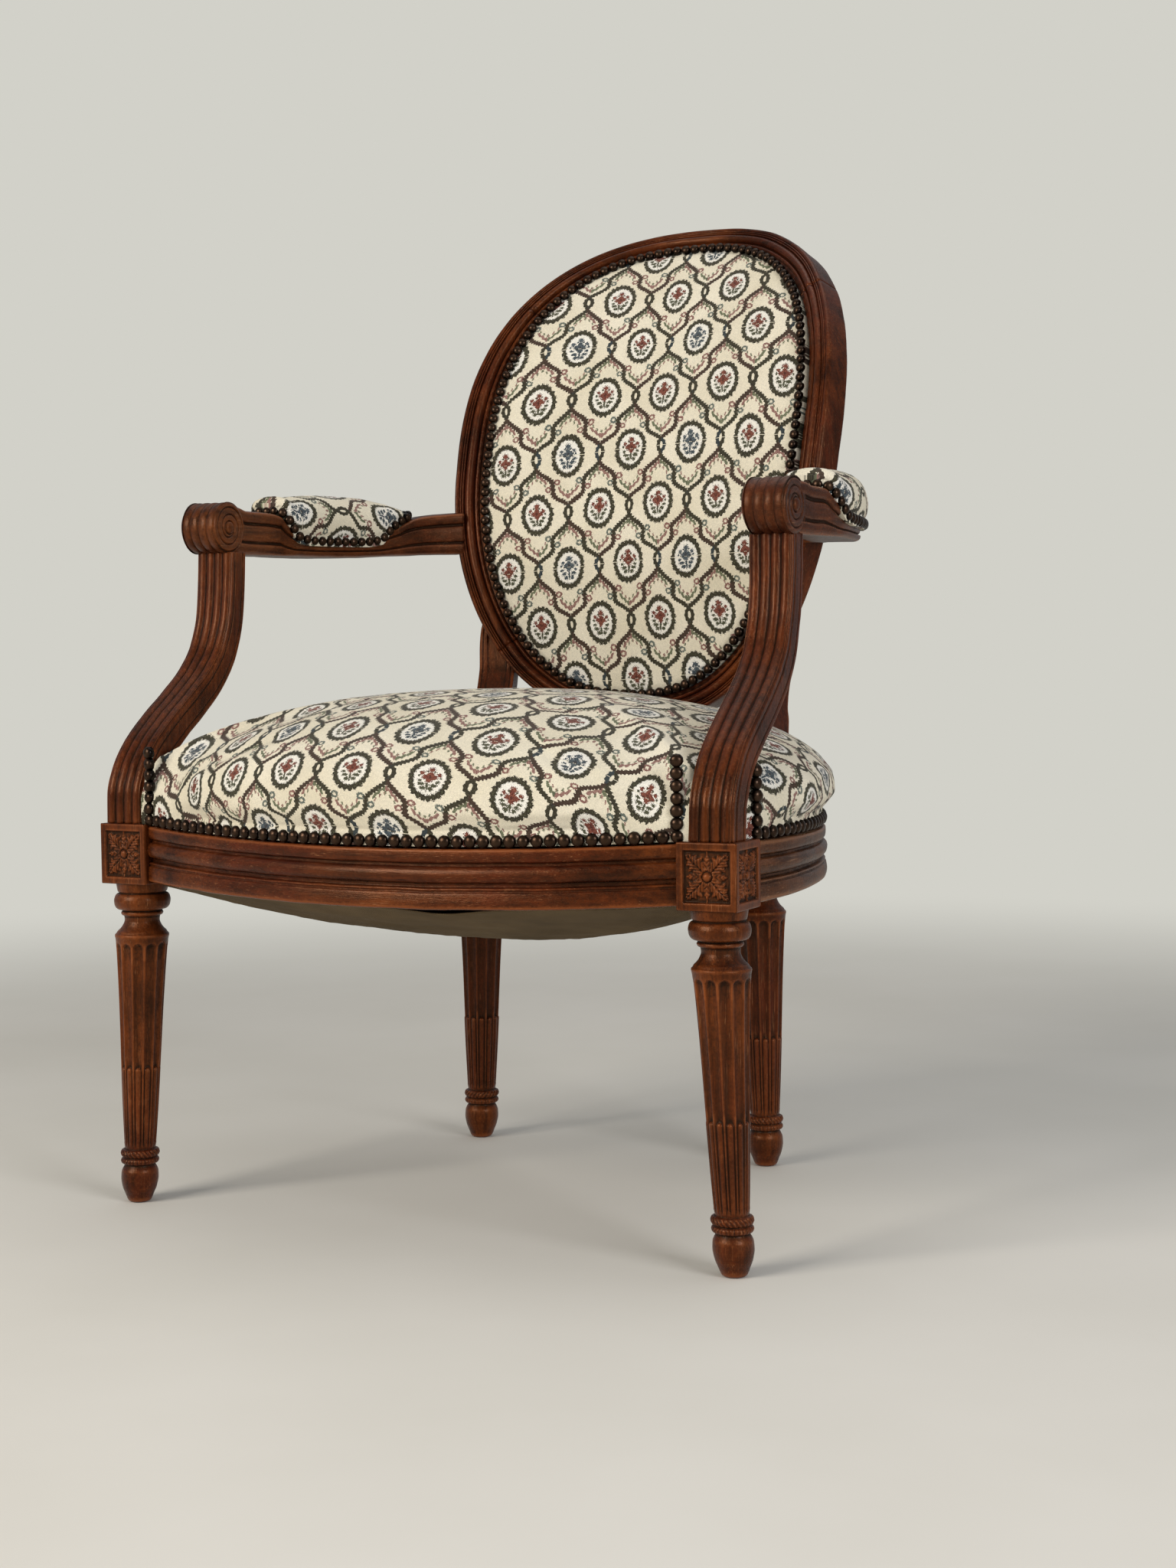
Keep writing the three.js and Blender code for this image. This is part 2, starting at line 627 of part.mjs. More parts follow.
// Rail top under a place: the front rail dips between its blocks.
function railTop(x, y) {
  const share = Math.min(Math.max((sideFrontY - y) / (sideFrontY - frontRailY), 0), 1);
  const across = Math.min(Math.abs(x), frontHalf);
  return railBottom + railHeight - share * frontDrop(across);
}

// Stuffed seat: reach, rise, swelling of the sides and tuck at the arm supports, as shares.
const seatShares = [
  [0.5, 0, 0, 0], [0.85, 0, 0, 0], [1, 0, 0, 0], [1, 0.095, 0, 0], [1, 0.15, 0.5, 0], [1.004, 0.23, 1, 0.15],
  [1.002, 0.36, 1, 0.6], [0.985, 0.49, 0.45, 1], [0.935, 0.62, 0.1, 1], [0.85, 0.745, 0, 0.8],
  [0.72, 0.85, 0, 0.4], [0.54, 0.93, 0, 0], [0.33, 0.975, 0, 0], [0.15, 0.995, 0, 0],
];
// Share of the swelling at an angle: none beside the arm supports and the rear posts.
const swellStart = 0.12;
const swellWidth = 0.24;
function swell(angle) {
  const turn = Math.abs(Math.atan2(Math.sin(angle), Math.cos(angle)));
  const clear = (x, y) => {
    const away = Math.abs(turn - Math.atan2(x, seatCentreY - y));
    const t = Math.min(Math.max((away - swellStart) / swellWidth, 0), 1);
    return t * t * (3 - 2 * t);
  };
  return clear(supportX, supportFootY) * clear(rearBlockX, rearBlockY);
}
function seatCushion() {
  const outline = seatOutline(seatInset);
  const rings = seatShares.map(([share, rise, bulge, tuck]) =>
    seatRing(outline, seatSpokes, share,
      (x, y) => mix(railTop(x, y) + gap, railBottom + railHeight + seatCrown, rise),
      (angle) => bulge * mix(frontBulge, sideBulge, Math.abs(Math.sin(angle))) * swell(angle) -
        tuck * seatTuck * (1 - swell(angle))));
  const middle = (rise) => point(0, seatCentreY, railBottom + railHeight + rise);
  let body = loft(rings, middle(gap), middle(seatCrown));
  for (const side of [-1, 1]) {
    body = body
      .subtract(sided(side, armSupport(gap)))
      .subtract(blockSpace(side))
      .subtract(rearSpace(side))
      .subtract(sided(side, rearPost(gap)));
  }
  return body.decompose().sort((a, b) => b.volume() - a.volume())[0];
}

// Sagging sheet below a height, over an outline, with a thickness.
const sheetSpokes = 36;
const sagShare = (share) => (1 - share * share) ** 1.15;
function sheet(outline, height, sag, thickness) {
  const fall = (share) => sag * sagShare(share);
  const ring = (share, lower) =>
    seatRing(outline, sheetSpokes, share, (x, y) => height(x, y) - fall(share) - lower * thickness);
  const sharesOut = [0.35, 0.65, 0.88, 1];
  const upper = sharesOut.map((share) => ring(share, 0));
  const lower = [...sharesOut].reverse().map((share) => ring(share, 1));
  const middle = height(0, seatCentreY) - sag;
  return loft([...upper, ...lower], point(0, seatCentreY, middle), point(0, seatCentreY, middle - thickness));
}
// Underside of the rails at a place.
const railUnder = (x, y) => {
  const back = Math.min(Math.max((y - sideFrontY) / (sideRailEndY - sideFrontY), 0), 1);
  return railTop(x, y) - railHeight + back * sideBottomRise;
};
const dustCover = () => {
  let body = sheet(seatOutline(railThickness / 2), (x, y) => railUnder(x, y) - 2 * gap, dustSag, sheetThickness);
  for (const side of [-1, 1]) body = body.subtract(blockSpace(side)).subtract(rearSpace(side));
  return body;
};
const seatWebbing = () =>
  sheet(wellOutline(padClearance), (x, y) => railUnder(x, y) + webbingRise, webbingSag, sheetThickness);
// Springs and hair that fill the frame between the webbing and the stuffed seat.
function seatStuffing() {
  const outline = wellOutline(padClearance);
  const rest = webbingRise + gap;
  const low = [0.35, 0.65, 0.88, 1].map((share) =>
    seatRing(outline, sheetSpokes, share, (x, y) => railUnder(x, y) + rest - webbingSag * sagShare(share)));
  const top = (x, y) => railTop(x, y) - padClearance;
  const high = [1, 0.5].map((share) => seatRing(outline, sheetSpokes, share, top));
  const floor = railUnder(0, seatCentreY) + rest - webbingSag;
  return loft([...low, ...high], point(0, seatCentreY, floor), point(0, seatCentreY, top(0, seatCentreY)));
}

// Padding inside the oval: shares of reach, and depth behind the frame's face.
const padSpokes = 44;
function ovalBody(rows, startDepth, endDepth) {
  const rings = rows.map(([share, depth]) =>
    steps(padSpokes).slice(1).map((turnShare) => {
      const [u, v] = oval(turnShare * 2 * Math.PI, frameWidth + padClearance);
      return backPoint(u * share, v * share, depth);
    }),
  );
  return loft(rings, backPoint(0, 0, startDepth), backPoint(0, 0, endDepth));
}
const padShares = [
  [1, -0.2], [0.985, 0.06], [0.955, 0.24], [0.9, 0.44], [0.8, 0.65], [0.65, 0.82], [0.45, 0.93], [0.22, 0.985],
];
const backPad = () =>
  ovalBody([[0.5, backPadRear], [1, backPadRear],
    ...padShares.map(([share, rise]) => [share, -rise * backPadCrown])], backPadRear, -backPadCrown);
const canvasFrom = backPadRear + gap;
const canvasTo = canvasFrom + canvasThickness;
const backCanvas = () =>
  ovalBody([[0.5, canvasFrom], [1, canvasFrom], [1, canvasTo], [0.5, canvasTo]], canvasFrom, canvasTo);
const outsideTo = outsideDepth + outsideThickness;
const backOutside = () =>
  ovalBody([[0.5, outsideDepth], [1, outsideDepth], [1, outsideTo], [0.8, outsideTo + outsideThickness],
    [0.5, outsideTo + 2 * outsideThickness]], outsideDepth, outsideTo + 2 * outsideThickness);

// Arm pad: place along the arm, width, height of its lower edge on the arm, and crown, as shares.
const armPadShares = [
  [0.203, 0.5, 0.742, 0.04], [0.213, 0.63, 0.73, 0.09], [0.24, 0.78, 0.655, 0.25],
  [0.265, 0.86, 0.5, 0.49], [0.3, 0.94, 0.28, 0.82], [0.4, 1, 0.215, 0.987], [0.55, 1, 0.215, 1.02],
  [0.68, 0.98, 0.22, 0.99], [0.745, 0.91, 0.28, 0.85], [0.785, 0.82, 0.55, 0.476],
  [0.83, 0.65, 0.69, 0.195], [0.84, 0.5, 0.735, 0.084],
];
// Its section: share of half width, share of the crown above the nailed band, share of the band.
const padSectionShares = [
  [-0.88, 0, 0], [-0.88, 0, 1], [-1, 0.24, 1], [-0.96, 0.52, 1], [-0.8, 0.77, 1], [-0.5, 0.93, 1],
  [-0.18, 1, 1], [0.18, 1, 1], [0.5, 0.93, 1], [0.8, 0.77, 1], [0.96, 0.52, 1], [1, 0.24, 1],
  [0.88, 0, 1], [0.88, 0, 0],
];
function armPad(side) {
  const band = 2 * smallNailRadius;
  const rings = armPadShares.map(([s, wide, low, high]) => {
    const { at, out } = armLine(s);
    const section = padSectionShares.map(([a, h, b]) =>
      [a * wide * armPadHalfWidth, armBottom + low * armDepth + b * band + h * high * armPadRise]);
    return place(section, at, out, point(0, 0, 1));
  });
  const body = sided(side, loft(rings)).subtract(armSpace(side));
  return body.decompose().sort((a, b) => b.volume() - a.volume())[0];
}
// The arm's body grown by the clearance, so that the pad rests on it.
function armSpace(side) {
  const rings = armShares.map(([s, low, high, wide]) => {
    const { at, out } = armLine(s);
    const [bottom, top] = [armBottom + low * armDepth - gap, armBottom + high * armDepth + gap];
    const section = armSectionShares.map(([a, h]) => [a * (wide * armHalfWidth + gap), mix(bottom, top, h)]);
    return place(section, at, out, point(0, 0, 1));
  });
  return sided(side, loft(rings));
}

// Half-round row of touching nail heads along places that carry outward and upward directions.
const nailShares = [[0, -1], [0.55, -0.8], [1, 0], [0.55, 0.8], [0, 1]];
function nailRow(stations, radius, height) {
  return loft(stations.map(({ at, out, up }) =>
    place(nailShares.map(([o, w]) => [o * height, w * radius]), at, out, up)));
}
// Row of nail heads that closes on itself.
function nailRing(stations, radius, height) {
  const count = nailShares.length;
  const points = stations.flatMap(({ at, out, up }) =>
    place(nailShares.map(([o, w]) => [o * height, w * radius]), at, out, up));
  const faces = stations.flatMap((_, i) =>
    nailShares.flatMap((_, j) => {
      const next = ((i + 1) % stations.length) * count;
      const [a, b, c, d] = [i * count + j, i * count + ((j + 1) % count), next + ((j + 1) % count), next + j];
      return [[a, b, c], [a, c, d]];
    }));
  return solidOf(points, faces);
}
// Nail line of an arm pad: place along the arm, reach to the side and height, as shares.
const armNailShares = [
  [0.187, 0, 0.92], [0.187, 0.3, 0.92], [0.195, 0.52, 0.892], [0.21, 0.61, 0.84], [0.24, 0.705, 0.757],
  [0.265, 0.775, 0.6], [0.3, 0.845, 0.38], [0.4, 0.9, 0.315], [0.55, 0.9, 0.315], [0.68, 0.88, 0.32],
  [0.745, 0.82, 0.38], [0.785, 0.74, 0.65], [0.83, 0.63, 0.815], [0.858, 0.48, 0.89],
  [0.868, 0.3, 0.925], [0.868, 0, 0.925],
];
function armNails(side) {
  const at = ([s, reach, rise], to) => {
    const line = armLine(s);
    const place = line.at.clone().addScaledVector(line.out, to * reach * armPadHalfWidth);
    return place.add(point(0, 0, armBottom + rise * armDepth));
  };
  const outer = armNailShares.map((row) => at(row, 1));
  const inner = armNailShares.slice(1, -1).reverse().map((row) => at(row, -1));
  const loop = [...outer, ...inner];
  const stations = loop.map((place, i) => {
    const along = loop[(i + 1) % loop.length].clone().sub(loop.at(i - 1));
    return { at: place, out: point(along.y, -along.x, 0).normalize(), up: point(0, 0, 1) };
  });
  return sided(side, nailRing(stations, smallNailRadius, smallNailHeight));
}
// Station on the seat's edge at an angle from the front, just outside the cloth.
const clothLine = seatOutline(seatInset);
function edgeAt(angle) {
  const spoke = (angle / (2 * Math.PI)) * seatSpokes;
  const near = (k) => {
    const turn = (k / seatSpokes) * 2 * Math.PI;
    const reach = reachOf(clothLine, turn);
    return point(Math.sin(turn) * reach, seatCentreY - Math.cos(turn) * reach, 0);
  };
  return near(Math.floor(spoke)).lerp(near(Math.floor(spoke) + 1), spoke - Math.floor(spoke));
}
function edgeStation(angle) {
  const at = edgeAt(angle);
  const along = edgeAt(angle + 0.04).sub(edgeAt(angle - 0.04));
  at.z = railTop(at.x, at.y) + nailRadius + 2 * gap;
  const out = point(along.y, -along.x, 0).normalize();
  return { at: at.addScaledVector(out, 2 * gap), out, up: point(0, 0, 1) };
}
// Stations on every spoke of the cushion between two angles, with the two ends.
function edgeStations(from, to) {
  const size = (2 * Math.PI) / seatSpokes;
  const inner = [];
  for (let k = Math.floor(from / size) + 1; k * size < to - size / 9; k += 1)
    if (k * size > from + size / 9) inner.push(k * size);
  return [from, ...inner, to].map(edgeStation);
}
const angleOf = (x, y) => Math.atan2(x, seatCentreY - y);
const nailTurn = (2 * nailRadius) / supportX;
// Upright row that starts at a station of a level row.
function nailStack({ at, out }, rise) {
  const across = point(-out.y, out.x, 0);
  const foot = at.clone().addScaledVector(out, padClearance);
  const ends = [0, rise].map((up) => ({ at: foot.clone().add(point(0, 0, up)), out, up: across }));
  return nailRow(ends, nailRadius, nailHeight);
}
function seatNailsFront() {
  const edge = supportX - supportWidth / 2 - nailRadius - 2 * gap;
  const last = angleOf(edge, frontFaceY(frontHalf));
  const stations = edgeStations(-last, last);
  let body = nailRow(stations, nailRadius, nailHeight);
  for (const end of [stations[0], stations.at(-1)]) body = body.add(nailStack(end, nailColumn));
  for (const side of [-1, 1]) body = body.subtract(blockSpace(side));
  return body;
}
function seatNailsSide(side) {
  const first = angleOf(supportX + supportWidth / 2, supportFootY + supportDepth / 2 + nailRadius + gap);
  const last = angleOf(rearBlockX + rearBlockWidth / 2, rearBlockY - rearBlockWidth / 2 - 2 * nailRadius);
  const stations = edgeStations(first + nailTurn, last);
  const row = nailRow(stations, nailRadius, nailHeight).add(nailStack(stations[0], 0.75 * nailColumn));
  return sided(side, row);
}
function seatNailsBack() {
  const last = Math.PI - angleOf(rearHalf - 2 * nailRadius, backRailY);
  return nailRow(edgeStations(Math.PI - last, Math.PI + last), nailRadius, nailHeight);
}
// Ring of small nail heads round the cloth of the back.
function backNails() {
  const centreIn = frameWidth + gap + smallNailRadius;
  const stations = steps(52).slice(1).map((turnShare) => {
    const angle = turnShare * 2 * Math.PI;
    const at = (inward, depth) => backPoint(...oval(angle, inward), depth);
    const place = at(centreIn, -(backPadCrown / 4 + gap));
    const up = at(centreIn + smallNailRadius, 0).sub(at(centreIn - smallNailRadius, 0)).normalize();
    const out = at(centreIn, -smallNailRadius).sub(at(centreIn, 0)).normalize();
    return { at: place, out, up };
  });
  return nailRing(stations, smallNailRadius, smallNailHeight);
}

add("front_rail", frontRail(), beech);
add("back_rail", backRail(), beech);
add("back_crest", crest(), beech);
add("back_bottom_rail", backBottom(), beech);
for (const [label, side] of [["left", 1], ["right", -1]]) {
  add(`side_rail_${label}`, sideRail(side), beech);
  add(`front_leg_${label}`, frontLeg(side), beech);
  add(`rear_leg_${label}`, rearLeg(side), beech);
  add(`arm_support_${label}`, sided(side, armSupport()), beech);
  add(`arm_${label}`, arm(side), beech);
  add(`arm_pad_${label}`, armPad(side), tapestry);
  add(`seat_nails_${label}`, seatNailsSide(side), bronze);
  add(`arm_nails_${label}`, armNails(side), bronze);
}
add("seat_cushion", seatCushion(), tapestry);
add("seat_stuffing", seatStuffing(), hair);
add("seat_webbing", seatWebbing(), canvas);
add("dust_cover", dustCover(), dustCloth);
add("back_pad", backPad(), tapestry);
add("back_canvas", backCanvas(), canvas);
add("back_outside_cover", backOutside(), tapestry);
add("seat_nails_front", seatNailsFront(), bronze);
add("seat_nails_back", seatNailsBack(), bronze);
add("back_nails", backNails(), bronze);

// The origin sits under the middle of the whole chair.
const bounds = new THREE.Box3().setFromObject(group);
const middle = bounds.getCenter(point(0, 0, 0));
for (const mesh of group.children) mesh.geometry.translate(-middle.x, -middle.y, 0);

export default group;
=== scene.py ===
"""An open-arm chair with an oval back in stained beech, with a sprung seat, padded back and arm pads
in woven tapestry. Built on the CAD frame, in metres, front towards -Y. Lengths in the text are mm."""
import functools
import math
import bpy
import numpy as np
from mathutils import Matrix, Vector
from mathutils.kdtree import KDTree


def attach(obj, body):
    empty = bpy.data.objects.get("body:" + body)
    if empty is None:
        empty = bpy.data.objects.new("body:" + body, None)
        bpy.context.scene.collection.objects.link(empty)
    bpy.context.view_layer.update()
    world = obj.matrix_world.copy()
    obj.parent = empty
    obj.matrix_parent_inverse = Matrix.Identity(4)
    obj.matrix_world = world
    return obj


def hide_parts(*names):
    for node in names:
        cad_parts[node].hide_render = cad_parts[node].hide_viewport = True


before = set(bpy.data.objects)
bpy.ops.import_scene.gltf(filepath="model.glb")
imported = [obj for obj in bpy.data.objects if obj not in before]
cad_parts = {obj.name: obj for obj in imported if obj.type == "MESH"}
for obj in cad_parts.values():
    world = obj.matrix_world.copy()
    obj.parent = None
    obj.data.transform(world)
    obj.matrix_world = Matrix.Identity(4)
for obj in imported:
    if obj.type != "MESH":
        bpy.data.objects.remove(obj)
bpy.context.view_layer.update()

# Grids, skins and finishes
# Every piece is a skin through rings of points, in mm, in the frame of the drawing: the front feet
# stand at y 0. The frame's own origin lies further back, by the distance read from a front foot here.
foot_points = np.array([v.co[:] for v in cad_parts["front_leg_left"].data.vertices]) * 1000
SHIFT = np.array([0, foot_points[foot_points[:, 2] < 1][:, 1].mean(), 0])
TURN = 2 * math.pi
SIDES = ((1, "left"), (-1, "right"))


def curve(rows, at, column=1):
    """Value at a place, from rows of (place, values): a cubic between rows that never overshoots them,
    its slope at a row being the harmonic mean of the slopes on both sides."""
    rows = np.asarray(rows, float)
    x, y = rows[:, 0], rows[:, column]
    step = np.diff(x)
    rate = np.diff(y) / step
    slope = np.concatenate([rate[:1], np.zeros(len(x) - 2), rate[-1:]])
    both = rate[1:] * rate[:-1] > 0
    total = np.where(both, rate[1:] + rate[:-1], 1)
    slope[1:-1] = np.where(both, 2 * rate[1:] * rate[:-1] / total, 0)
    i = np.clip(np.searchsorted(x, at, side="right") - 1, 0, len(x) - 2)
    t = np.clip((at - x[i]) / step[i], 0, 1)
    return ((1 + 2 * t) * (1 - t) ** 2 * y[i] + t * (1 - t) ** 2 * step[i] * slope[i]
            + t * t * (3 - 2 * t) * y[i + 1] + t * t * (t - 1) * step[i] * slope[i + 1])


def curves(rows, at):
    """The value of every column at a place, from rows of (place, values)."""
    return [curve(rows, at, column) for column in range(1, len(rows[0]))]


def ease(t):
    """0 below 0, 1 above 1 and a smooth S between: t squared times 3 less 2 t."""
    t = np.clip(t, 0, 1)
    return t * t * (3 - 2 * t)


def unit(vectors):
    """The vectors divided by their own lengths."""
    return vectors / np.maximum(np.linalg.norm(vectors, axis=-1, keepdims=True), 1e-9)


def around(count):
    """The angles of one turn in even steps, without the last one that closes it."""
    return np.linspace(0, TURN, count, endpoint=False)


def stretches(*parts):
    """Places in stretches of even steps, each given as start, end and count; the last keeps its end."""
    return np.concatenate([np.linspace(*part, endpoint=part is parts[-1]) for part in parts])


def length_along(lines, axis=0):
    """The distance along lines of points from their first one, the points running along an axis."""
    path = np.cumsum(np.linalg.norm(np.diff(lines, axis=axis), axis=-1), axis)
    return np.concatenate([0 * np.take(path, [0], axis), path], axis)


def smoothed(values, times, axis=0, closed=True):
    """Values averaged (1, 2, 1) along an axis so many times; a line that isn't closed keeps its ends."""
    values = np.moveaxis(np.array(values, float), axis, 0)
    for _ in range(times):
        mean = (np.roll(values, 1, 0) + 2 * values + np.roll(values, -1, 0)) / 4
        values = mean if closed else np.concatenate([values[:1], mean[1:-1], values[-1:]])
    return np.moveaxis(values, 0, axis)


def ripple(at, seed=0):
    """A seamless, seeded wobble of about -1 to 1 over points in mm: a sum of sines of several
    directions and wavelengths, the wavelengths between 9 and 70 mm."""
    sines = np.random.default_rng(seed)
    total = np.zeros(at.shape[:-1])
    for wavelength in (70, 43, 29, 17, 9):
        for _ in range(2):
            way = unit(sines.normal(size=3))
            total += (wavelength / 70) ** 0.7 * np.sin(at @ way * TURN / wavelength + sines.uniform(0, TURN))
    return total / 3.2


CLOSE_GRID = 1.6


def skin(rings, blur=(16, 16), weave=None):
    """A closed shell through rings: rows run along the piece and columns round it. Each end is closed
    by a fan to the ring's mean. Its relief is how far a point stands out, along the normal, from the
    same grid averaged over its rows and columns as often as blur says, less where the grid is coarser
    than 1.6."""
    rings = np.asarray(rings, float)
    rows, columns = rings.shape[:2]
    i, j = np.meshgrid(np.arange(rows - 1) * columns, np.arange(columns), indexing="ij")
    k = (j + 1) % columns
    quads = np.stack([i + j, i + k, i + columns + k, i + columns + j], -1).reshape(-1, 4)
    count, here, last = rows * columns, j[0], (rows - 1) * columns
    fans = np.concatenate([np.stack([0 * here + count, k[0], here], -1),
                           np.stack([0 * here + count + 1, last + here, last + k[0]], -1)])
    points = np.concatenate([rings.reshape(-1, 3), rings[[0, -1]].mean(1)])
    corners = points - points.mean(0)
    a, b, c, d = (corners[quads[:, n]] for n in range(4))
    e, f, g = (corners[fans[:, n]] for n in range(3))
    volume = (a * (np.cross(b, c) + np.cross(c, d))).sum() + (e * np.cross(f, g)).sum()
    out = 1 if volume > 0 else -1
    smooth = smoothed(smoothed(rings, blur[0], 0, closed=False), blur[1], 1)
    across, along = np.roll(rings, -1, 1) - np.roll(rings, 1, 1), np.gradient(rings, axis=0)
    normal = unit(np.cross(across, along)) * out
    gap = np.linalg.norm(across, axis=-1) / 2
    if blur[0] > 0:
        gap = np.maximum(gap, np.linalg.norm(along, axis=-1) * 0.7)
    relief = ((rings - smooth) * normal).sum(-1) * np.minimum(1, (CLOSE_GRID / np.maximum(gap, 1e-6)) ** 2)
    weave = np.zeros((rows, columns, 2)) if weave is None else weave
    cloth = np.zeros((count + 2, 3))
    cloth[:, :2] = np.concatenate([weave.reshape(-1, 2), weave[[0, -1]].mean(1)])
    return {"points": points, "quads": quads[:, ::out], "fans": fans[:, ::out],
            "relief": np.append(relief, [0, 0]), "weave": cloth}


def weathered(rings, seed, depth, blur):
    """A skin through rings whose points have wandered a little, by a ripple of that depth."""
    return skin(rings + ripple(rings, seed)[..., None] * depth, blur)


def to_side(side, shell):
    """The shell on the sitter's left (1), or mirrored to the right (-1): x and the faces turn round."""
    return {**shell, "points": shell["points"] * [side, 1, 1], "quads": shell["quads"][:, ::side],
            "fans": shell["fans"][:, ::side]}


def mesh_of(name, shells):
    """One mesh from shells, in metres in the frame's place, with relief and weave as attributes."""
    first = np.cumsum([0] + [len(shell["points"]) for shell in shells])
    points, relief, weave = (np.concatenate([shell[key] for shell in shells])
                             for key in ("points", "relief", "weave"))
    quads, fans = (np.concatenate([shell[key] + n for shell, n in zip(shells, first)])
                   for key in ("quads", "fans"))
    corners = np.concatenate([quads.ravel(), fans.ravel()])
    starts = np.concatenate([np.arange(len(quads)) * 4, quads.size + np.arange(len(fans)) * 3])
    mesh = bpy.data.meshes.new(name)
    mesh.vertices.add(len(points))
    mesh.vertices.foreach_set("co", ((points + SHIFT) / 1000).astype(np.float32).ravel())
    mesh.loops.add(len(corners))
    mesh.loops.foreach_set("vertex_index", corners.astype(np.int32))
    mesh.polygons.add(len(starts))
    mesh.polygons.foreach_set("loop_start", starts.astype(np.int32))
    mesh.update(calc_edges=True)
    mesh.shade_smooth()
    for key, kind, values in (("relief", "FLOAT", relief), ("weave", "FLOAT_VECTOR", weave)):
        field = "value" if kind == "FLOAT" else "vector"
        mesh.attributes.new(key, kind, "POINT").data.foreach_set(field, values.astype(np.float32).ravel())
    return mesh


def build(name, shells, finish, slot, *nodes):
    """A piece from shells: it rides on the chair and stands for its CAD nodes; slot is not used."""
    piece = bpy.data.objects.new(name, mesh_of(name, shells))
    bpy.context.scene.collection.objects.link(piece)
    piece.data.materials.append(finish)
    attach(piece, "root")
    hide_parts(*nodes)
    return piece


def colour(code):
    """Linear colour from an sRGB hex code: each channel c becomes ((c + 0.055) / 1.055) to the 2.4."""
    parts = [int(code[n:n + 2], 16) / 255 for n in (1, 3, 5)]
    return [c / 12.92 if c <= 0.04045 else ((c + 0.055) / 1.055) ** 2.4 for c in parts] + [1]


def fill(tree, node, inputs):
    """Fills inputs of a node, given by name or number, with links, numbers or hex colours."""
    for key, value in inputs.items():
        if isinstance(value, bpy.types.NodeSocket):
            tree.links.new(value, node.inputs[key])
        else:
            node.inputs[key].default_value = colour(value) if isinstance(value, str) else value


def add(tree, kind, *inputs, out=0, **settings):
    """Adds a shader node with its settings, fills its inputs, given in order or as one dictionary,
    and returns one of its outputs. A kind in capitals is what a Math node works out."""
    if kind.isupper():
        kind, settings["operation"] = "Math", kind
    made = tree.nodes.new("ShaderNode" + kind)
    for key, value in settings.items():
        setattr(made, key, value)
    by_name = len(inputs) == 1 and isinstance(inputs[0], dict)
    fill(tree, made, inputs[0] if by_name else dict(enumerate(inputs)))
    return made.outputs[out]


RGBA = {"out": 2, "data_type": "RGBA"}  # how a Mix node takes and gives colours


def finish_of(name):
    """A new material with its node tree and its surface shader, which is joined to the output."""
    made = bpy.data.materials.new(name)
    made.use_nodes = True
    return made, made.node_tree, made.node_tree.nodes["Principled BSDF"]


